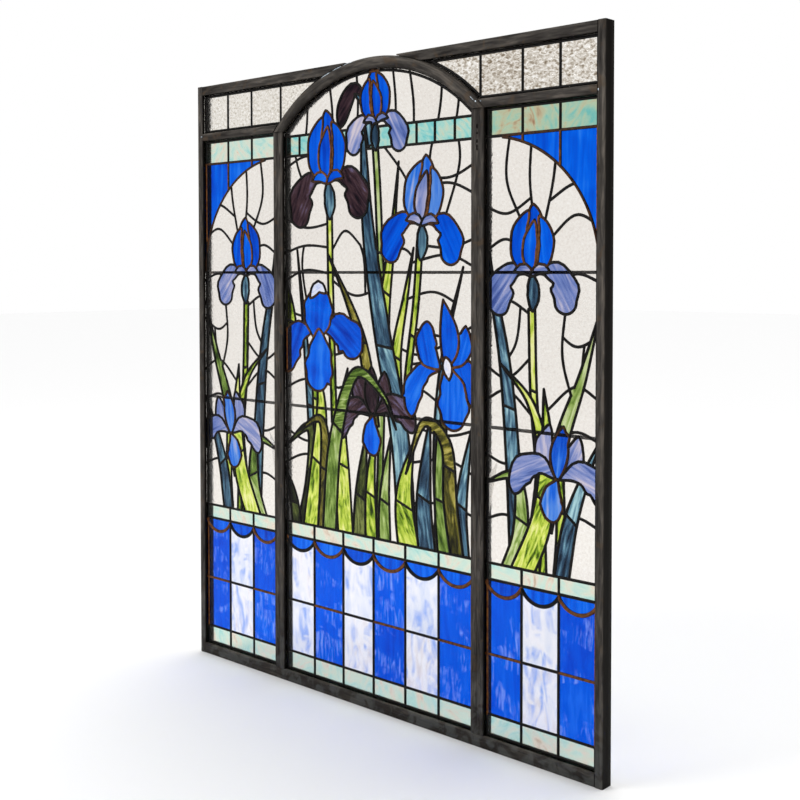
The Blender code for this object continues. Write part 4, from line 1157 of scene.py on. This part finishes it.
def addLeading(name, points, network, mirror, node):
    runs, joints = leadRuns(points, network)
    bm = bmesh.new()
    copper = bm.verts.layers.float.new("copper")
    for worn in sorted(set(network.values())):
        before = len(bm.verts)
        bm.from_mesh(beadMesh([run for level, run in runs if level == worn], name))
        bm.verts.ensure_lookup_table()
        for vert in bm.verts[before:]:
            vert[copper] = worn
    blob = blobMesh()
    reached = Vector((0.0, 0.0, 0.0))
    for joint in joints:
        place = Vector((joint.x, glassMiddle, joint.y))
        blob.transform(Matrix.Translation(place - reached))
        reached = place
        bm.from_mesh(blob)
    thicker = ((glassBack - glassFront) / 2 + leadProud) / (drawn["leadWidth"] / 2 * (1 + beads["swell"]))
    bmesh.ops.scale(bm, verts=bm.verts, vec=(-1.0 if mirror else 1.0, thicker, 1.0),
                    space=Matrix.Translation((0.0, -glassMiddle, 0.0)))
    if mirror:
        bmesh.ops.reverse_faces(bm, faces=bm.faces)
    for face in bm.faces:
        face.smooth = True
    addPiece(bm, name, leadBead, [node])


def bandNodes(word, count, firstBlue):
    blue = [f"{word}_check_column_{n + 1}" for n in range(count) if firstBlue == (n % 2 == 0)]
    white = [f"{word}_check_column_{n + 1}" for n in range(count) if firstBlue != (n % 2 == 0)]
    return {"royal": blue, "white": white, "cobalt": [f"{word}_swags"], "ground": [f"{word}_picture"],
            "teal": [f"{word}_base_band", f"{word}_middle_band"]}


def addCentreLight():
    points, panes, network = arrange(drawCentre())
    addPanes("centre", panes, False, bandNodes("centre", bands["centreColumns"], False))
    addLeading("centreLeading", points, network, False, "centre_leading")
    print("centre light:", len(panes), "panes")


def addSideLights():
    sideParts = arrange(drawSide())
    topParts = arrange(drawTop())
    for word, mirror in (("left", True), ("right", False)):
        nodes = bandNodes(word, bands["sideColumns"], True)
        nodes["cobalt"].append(f"{word}_spandrel")
        nodes["teal"].append(f"{word}_upper_band")
        points, panes, network = sideParts
        if not mirror:
            panes = [("sage" if glass == "teal" and outline[0].y > spandrelTop - bite else glass, outline)
                     for glass, outline in panes]
            nodes["sage"] = [nodes["teal"].pop()]
        addPanes(word, panes, mirror, nodes)
        addLeading(word + "Leading", points, network, mirror, f"{word}_leading")
        points, panes, network = topParts
        glass = "hammered" if mirror else "rippled"
        panes = [(glass, outline) for _, outline in panes]
        addPanes(word + "Top", panes, mirror, {glass: [f"{word}_top_light"]})
        addLeading(word + "TopLeading", points, network, mirror, f"{word}_top_leading")
        print(word, "light:", len(sideParts[1]) + len(topParts[1]), "panes")


# Frame: bars with eased edges, grooved for the glass, with a map that runs along each bar

bars = {
    "easing": 0.0030,
    "easingSegments": 3,
    "archRounding": 0.0145,
    "archSegments": 8,
    "archStep": 0.016,
    "railStep": 0.03,
    "jointGap": 0.0003,
    "clearance": 0.001,
    "shortestEased": 0.1,
    "seamWidth": 0.0044,
    "seamDepth": 0.0013,
    "smoothTurn": math.radians(38),
    "slotWidth": 0.0060,
    "slotDepth": 0.0040,
    "slots": [(-0.0325, -0.0180), (-0.0140, -0.0055), (0.0085, 0.0125), (0.0230, 0.0340)],
    "fillet": 0.010,
    "filletStep": 0.002,
    "acrossShift": 7.0,        # so that no two kinds of bar share a grain
    "roundShift": 13.0,
    "footReach": 1e-4,
    "flat": 1e-5,
    "tiny": 1e-6,
}


def sweep(bm, face, reach):
    moved = bmesh.ops.extrude_face_region(bm, geom=[face])["geom"]
    bmesh.ops.translate(bm, verts=[v for v in moved if isinstance(v, bmesh.types.BMVert)], vec=reach)
    bmesh.ops.recalc_face_normals(bm, faces=bm.faces)
    return bm


def prism(outline, front, back):
    bm = bmesh.new()
    face = bm.faces.new([bm.verts.new((p.x, front, p.y)) for p in outline])
    return sweep(bm, face, (0.0, back - front, 0.0))


def ease(bm, edges, offset, segments):
    bmesh.ops.bevel(bm, geom=edges, offset=offset, segments=segments, profile=0.5, affect="EDGES",
                    material=-1, clamp_overlap=True)


def grooveCutter():
    # as thick as the beads with room to slide, one loop for each light
    clear = leadProud + bars["clearance"]
    grow = bite + bars["clearance"]
    outlines = [centreOutline(grow)]
    for outline in (sideOutline(grow), topOutline(grow)):
        outlines += [outline, mirrored(outline)]
    cuts = [(outline, glassFront - clear, glassBack + clear) for outline in outlines]
    # worn slots in the right mullion's seam, at heights over the spandrels' top
    middle = (mullionInner + mullionOuter) / 2
    half = bars["slotWidth"] / 2
    for low, high in bars["slots"]:
        slot = box(middle - half, spandrelTop + low, middle + half, spandrelTop + high)
        cuts.append((slot, frameFront - half, frameFront + bars["slotDepth"]))
    bm = bmesh.new()
    for outline, front, back in cuts:
        bm.from_mesh(asMesh(prism(outline, front, back), "groove"))
    return linked("groove", asMesh(bm, "groove"))


def addBar(bm, node, cutter, grainOf):
    bar = linked(node, asMesh(bm, node))
    groove = bar.modifiers.new("groove", "BOOLEAN")
    groove.operation = "DIFFERENCE"
    groove.solver = "EXACT"
    groove.object = cutter
    bm = bmesh.new()
    bm.from_mesh(applied(bar))
    bmesh.ops.dissolve_degenerate(bm, edges=bm.edges, dist=bars["tiny"])
    uv = bm.loops.layers.uv.new("sheet")
    for face in bm.faces:
        face.smooth = True
        for loop in face.loops:
            loop[uv].uv = grainOf(loop.vert.co)
    for edge in bm.edges:
        edge.smooth = edge.is_manifold and edge.calc_face_angle() < bars["smoothTurn"]
    first, *rest = node.split("_")
    name = first + "".join(word.capitalize() for word in rest)
    addPiece(bm, name, frameMetal, [node])


def grainUp(place):
    return place.z, place.x + place.y


def grainAcross(place):
    return place.x + bars["acrossShift"], place.z + place.y


def grainRound(place):
    out = Vector((place.x, place.z - archCentre))
    return math.atan2(out.y, out.x) * archOuter + bars["roundShift"], out.length + place.y


def easedBar(outline):
    bm = prism(outline, frameFront, frameBack)
    edges = [e for e in bm.edges if e.calc_length() > bars["shortestEased"]
             and abs(e.verts[0].co.y - e.verts[1].co.y) < bars["tiny"]]
    ease(bm, edges, bars["easing"], bars["easingSegments"])
    return bm


def topRailOutline():
    return archEnded(archOuter + bars["jointGap"], railLow, frameTop, stileInner - bars["jointGap"],
                     drawn["thinTip"], bars["railStep"])


def transomOutline():
    return archEnded(archOuter + bars["jointGap"], transomLow, transomTop, stileInner - bars["jointGap"])


def mullionBar(mirror):
    # eased edges and a shallow soldered seam down the middle of both faces
    middle = (mullionInner + mullionOuter) / 2
    half = (mullionOuter - mullionInner) / 2
    seam = bars["seamWidth"] / 2
    face = [(-half, 0.0), (-seam, 0.0), (0.0, bars["seamDepth"]), (seam, 0.0), (half, 0.0)]
    section = [(x, frameFront + y) for x, y in face] + [(x, frameBack - y) for x, y in reversed(face)]
    bottom = sill + bars["jointGap"]
    centre = -middle if mirror else middle
    bm = bmesh.new()
    end = bm.faces.new([bm.verts.new((centre + x, y, bottom)) for x, y in section])
    sweep(bm, end, (0.0, 0.0, transomLow - bars["jointGap"] - bottom))
    edges = [e for e in bm.edges if e.calc_length() > bars["shortestEased"]
             and abs(abs(e.verts[0].co.x - centre) - half) < bars["flat"]]
    ease(bm, edges, bars["easing"], bars["easingSegments"])
    return bm


def archBar():
    low, lowInner = turnAt(transomLow, archOuter), turnAt(transomLow, archInner)
    outer = arc(0.0, archCentre, archOuter, low, math.pi - low, bars["archStep"])
    inner = arc(0.0, archCentre, archInner, math.pi - lowInner, lowInner, bars["archStep"])
    bm = prism(outer + inner, archFront, frameBack)
    front, back = [], []
    for edge in bm.edges:
        a, b = (v.co for v in edge.verts)
        atFoot = max(a.z, b.z) < transomLow + bars["footReach"]
        if abs(a.y - b.y) > bars["tiny"] or atFoot:
            continue
        (front if a.y < 0 else back).append(edge)
    ease(bm, front, bars["archRounding"], bars["archSegments"])
    ease(bm, [e for e in back if e.is_valid], bars["easing"], bars["easingSegments"])
    return bm


def addFrame():
    cutter = grooveCutter()
    addBar(archBar(), "arch_bar", cutter, grainRound)
    end = stileInner - bars["jointGap"]
    addBar(easedBar(box(-end, 0.0, end, sill)), "bottom_rail", cutter, grainAcross)
    for word, turn, mirror in (("left", mirrored, True), ("right", list, False)):
        addBar(easedBar(turn(box(stileInner, 0.0, frameHalf, frameTop))), f"{word}_stile", cutter, grainUp)
        addBar(easedBar(turn(topRailOutline())), f"{word}_top_rail", cutter, grainAcross)
        addBar(easedBar(turn(transomOutline())), f"{word}_transom", cutter, grainAcross)
        addBar(mullionBar(mirror), f"{word}_mullion", cutter, grainUp)
    bpy.data.objects.remove(cutter)
    for word in ("left", "centre", "right"):
        for number in (1, 2):
            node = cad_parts[f"{word}_saddle_bar_{number}"]
            node.data.materials.clear()
            node.data.materials.append(barSteel.material)
    print("frame made")


# Bright solder left at the joints, partly a painted highlight where they glint: runs along the arch's left
# shoulder, and dabs where bars meet

# runs and dabs laid where the arch and joints glint: solder and painted highlight
solder = {
    "runs": [
        # degrees round the arch from its right end, distance outside its middle line,
        # distance behind its front, and width
        (110.5, 106.0, 0.0125, 0.0050, 0.0046),
        (105.4, 101.5, 0.0130, 0.0052, 0.0040),
        (100.8, 97.2, 0.0135, 0.0056, 0.0024),
        (48.4, 46.2, 0.0085, 0.0025, 0.0032),
    ],
    "dabs": [
        # x, height over the transom's foot, y, and the dab's width and height
        (mullionInner + 0.017, 0.017, archFront + 0.0026, 0.007, 0.005),
        (mullionInner + 0.031, 0.017, frameFront + 0.0004, 0.006, 0.004),
        (-stileInner - 0.004, 0.014, frameFront + 0.0004, 0.008, 0.004),
        (stileInner + 0.003, 0.010, frameFront + 0.0004, 0.004, 0.006),
    ],
    "dabDepth": 0.0009,
    "runSteps": 8,
    "runEnd": 0.15,            # how thick a run is at its ends, before the root
}


def addSolder():
    curve = bpy.data.curves.new("solder", "CURVE")
    curve.dimensions = "3D"
    curve.bevel_depth = 1.0
    curve.bevel_resolution = 2
    steps = solder["runSteps"]
    for start, end, out, behind, width in solder["runs"]:
        radius = (archOuter + archInner) / 2 + out
        spline = curve.splines.new("POLY")
        spline.points.add(steps)
        for i, spot in enumerate(spline.points):
            turn = math.radians(start + (end - start) * i / steps)
            spot.co = (radius * math.cos(turn), archFront + behind, archCentre + radius * math.sin(turn), 1.0)
            spot.radius = width / 2 * max(solder["runEnd"], math.sin(math.pi * i / steps)) ** 0.5
    bm = bmesh.new()
    bm.from_mesh(applied(linked("solder", curve)))
    for x, up, y, width, height in solder["dabs"]:
        shape = Matrix.Diagonal((width / 2, solder["dabDepth"], height / 2, 1.0))
        place = Matrix.Translation((x, y, transomLow + up))
        bmesh.ops.create_uvsphere(bm, u_segments=10, v_segments=6, radius=1.0, matrix=place @ shape)
    for face in bm.faces:
        face.smooth = True
    addPiece(bm, "jointSolderAndGlints", solderAndGlint)


def addFillet():
    # solder rounding the right light's upper outer corner
    size = bars["fillet"]
    corner = Vector((stileInner, transomLow))
    curve = arc(corner.x - size, corner.y - size, size, 0.0, math.pi / 2, bars["filletStep"])
    bm = prism([corner] + curve[::-1], frameFront + bars["easing"], glassFront - leadProud)
    addPiece(bm, "cornerFillet", frameMetal)


# Studio

studio = {
    "floorSize": 60.0,
    "floorTone": 0.93,
    "worldSeen": 1.0,
    "worldLit": 0.34,
    "topSun": 2.42,
    "topSunPlace": (-0.6, 2.2, 6.0),
    "topSunAim": (0.0, 0.0, 0.0),
    "topSunAngle": math.radians(80),
    "keyPlace": (-2.2, -4.0, 4.8),
    "keyAim": (0.0, 0.0, 0.9),
    "keySize": 2.4,
    "keyPower": 110.0,
}
camera = {
    "place": (2.29157, -2.36559, 1.21713),
    "ahead": (-0.67994, 0.73257, -0.03196),
    "up": (-0.02114, 0.02398, 0.99949),
    "lens": 53.68,
    "shift": -0.1127,
}


def addFloor():
    bm = bmesh.new()
    bmesh.ops.create_grid(bm, x_segments=1, y_segments=1, size=studio["floorSize"] / 2)
    mesh = asMesh(bm, "floor")
    tone = studio["floorTone"]
    finish = Finish("paleFloor", {"Base Color": (tone, tone, tone, 1.0), "Roughness": 0.9})
    mesh.materials.append(finish.material)
    linked("floor", mesh)


def addWorld():
    # bright where it is seen, also through the glass, and dimmer where it lights the front
    world = bpy.data.worlds.new("studio")
    bpy.context.scene.world = world
    world.use_nodes = True
    nodes, links = world.node_tree.nodes, world.node_tree.links
    path = nodes.new("ShaderNodeLightPath")
    seen = nodes.new("ShaderNodeMath")
    seen.operation = "MAXIMUM"
    links.new(path.outputs["Is Camera Ray"], seen.inputs[0])
    links.new(path.outputs["Is Transmission Ray"], seen.inputs[1])
    level = nodes.new("ShaderNodeMapRange")
    level.inputs["To Min"].default_value = studio["worldLit"]
    level.inputs["To Max"].default_value = studio["worldSeen"]
    links.new(seen.outputs[0], level.inputs["Value"])
    background = nodes["Background"]
    background.inputs["Color"].default_value = (1.0, 1.0, 1.0, 1.0)
    links.new(level.outputs[0], background.inputs["Strength"])


def addLight(name, kind, place, aim, settings):
    data = bpy.data.lights.new(name, kind)
    for key, value in settings.items():
        setattr(data, key, value)
    light = linked(name, data)
    light.location = place
    light.rotation_euler = (Vector(aim) - Vector(place)).to_track_quat("-Z", "Y").to_euler()


def addCamera():
    data = bpy.data.cameras.new("photoCamera")
    data.lens = camera["lens"]
    data.shift_y = camera["shift"]
    ahead = Vector(camera["ahead"]).normalized()
    up = Vector(camera["up"])
    right = ahead.cross(up).normalized()
    turn = Matrix((right, right.cross(ahead), -ahead)).transposed()
    view = linked("photoCamera", data)
    view.matrix_world = Matrix.Translation(camera["place"]) @ turn.to_4x4()
    bpy.context.scene.camera = view


def addStudio():
    addFloor()
    addWorld()
    addLight("topSun", "SUN", studio["topSunPlace"], studio["topSunAim"],
             {"energy": studio["topSun"], "angle": studio["topSunAngle"]})
    addLight("key", "AREA", studio["keyPlace"], studio["keyAim"],
             {"energy": studio["keyPower"], "size": studio["keySize"]})
    addCamera()
    bpy.context.scene.view_settings.view_transform = "Standard"
    print("studio set")


addCentreLight()
addSideLights()
addFrame()
addSolder()
addFillet()
addStudio()
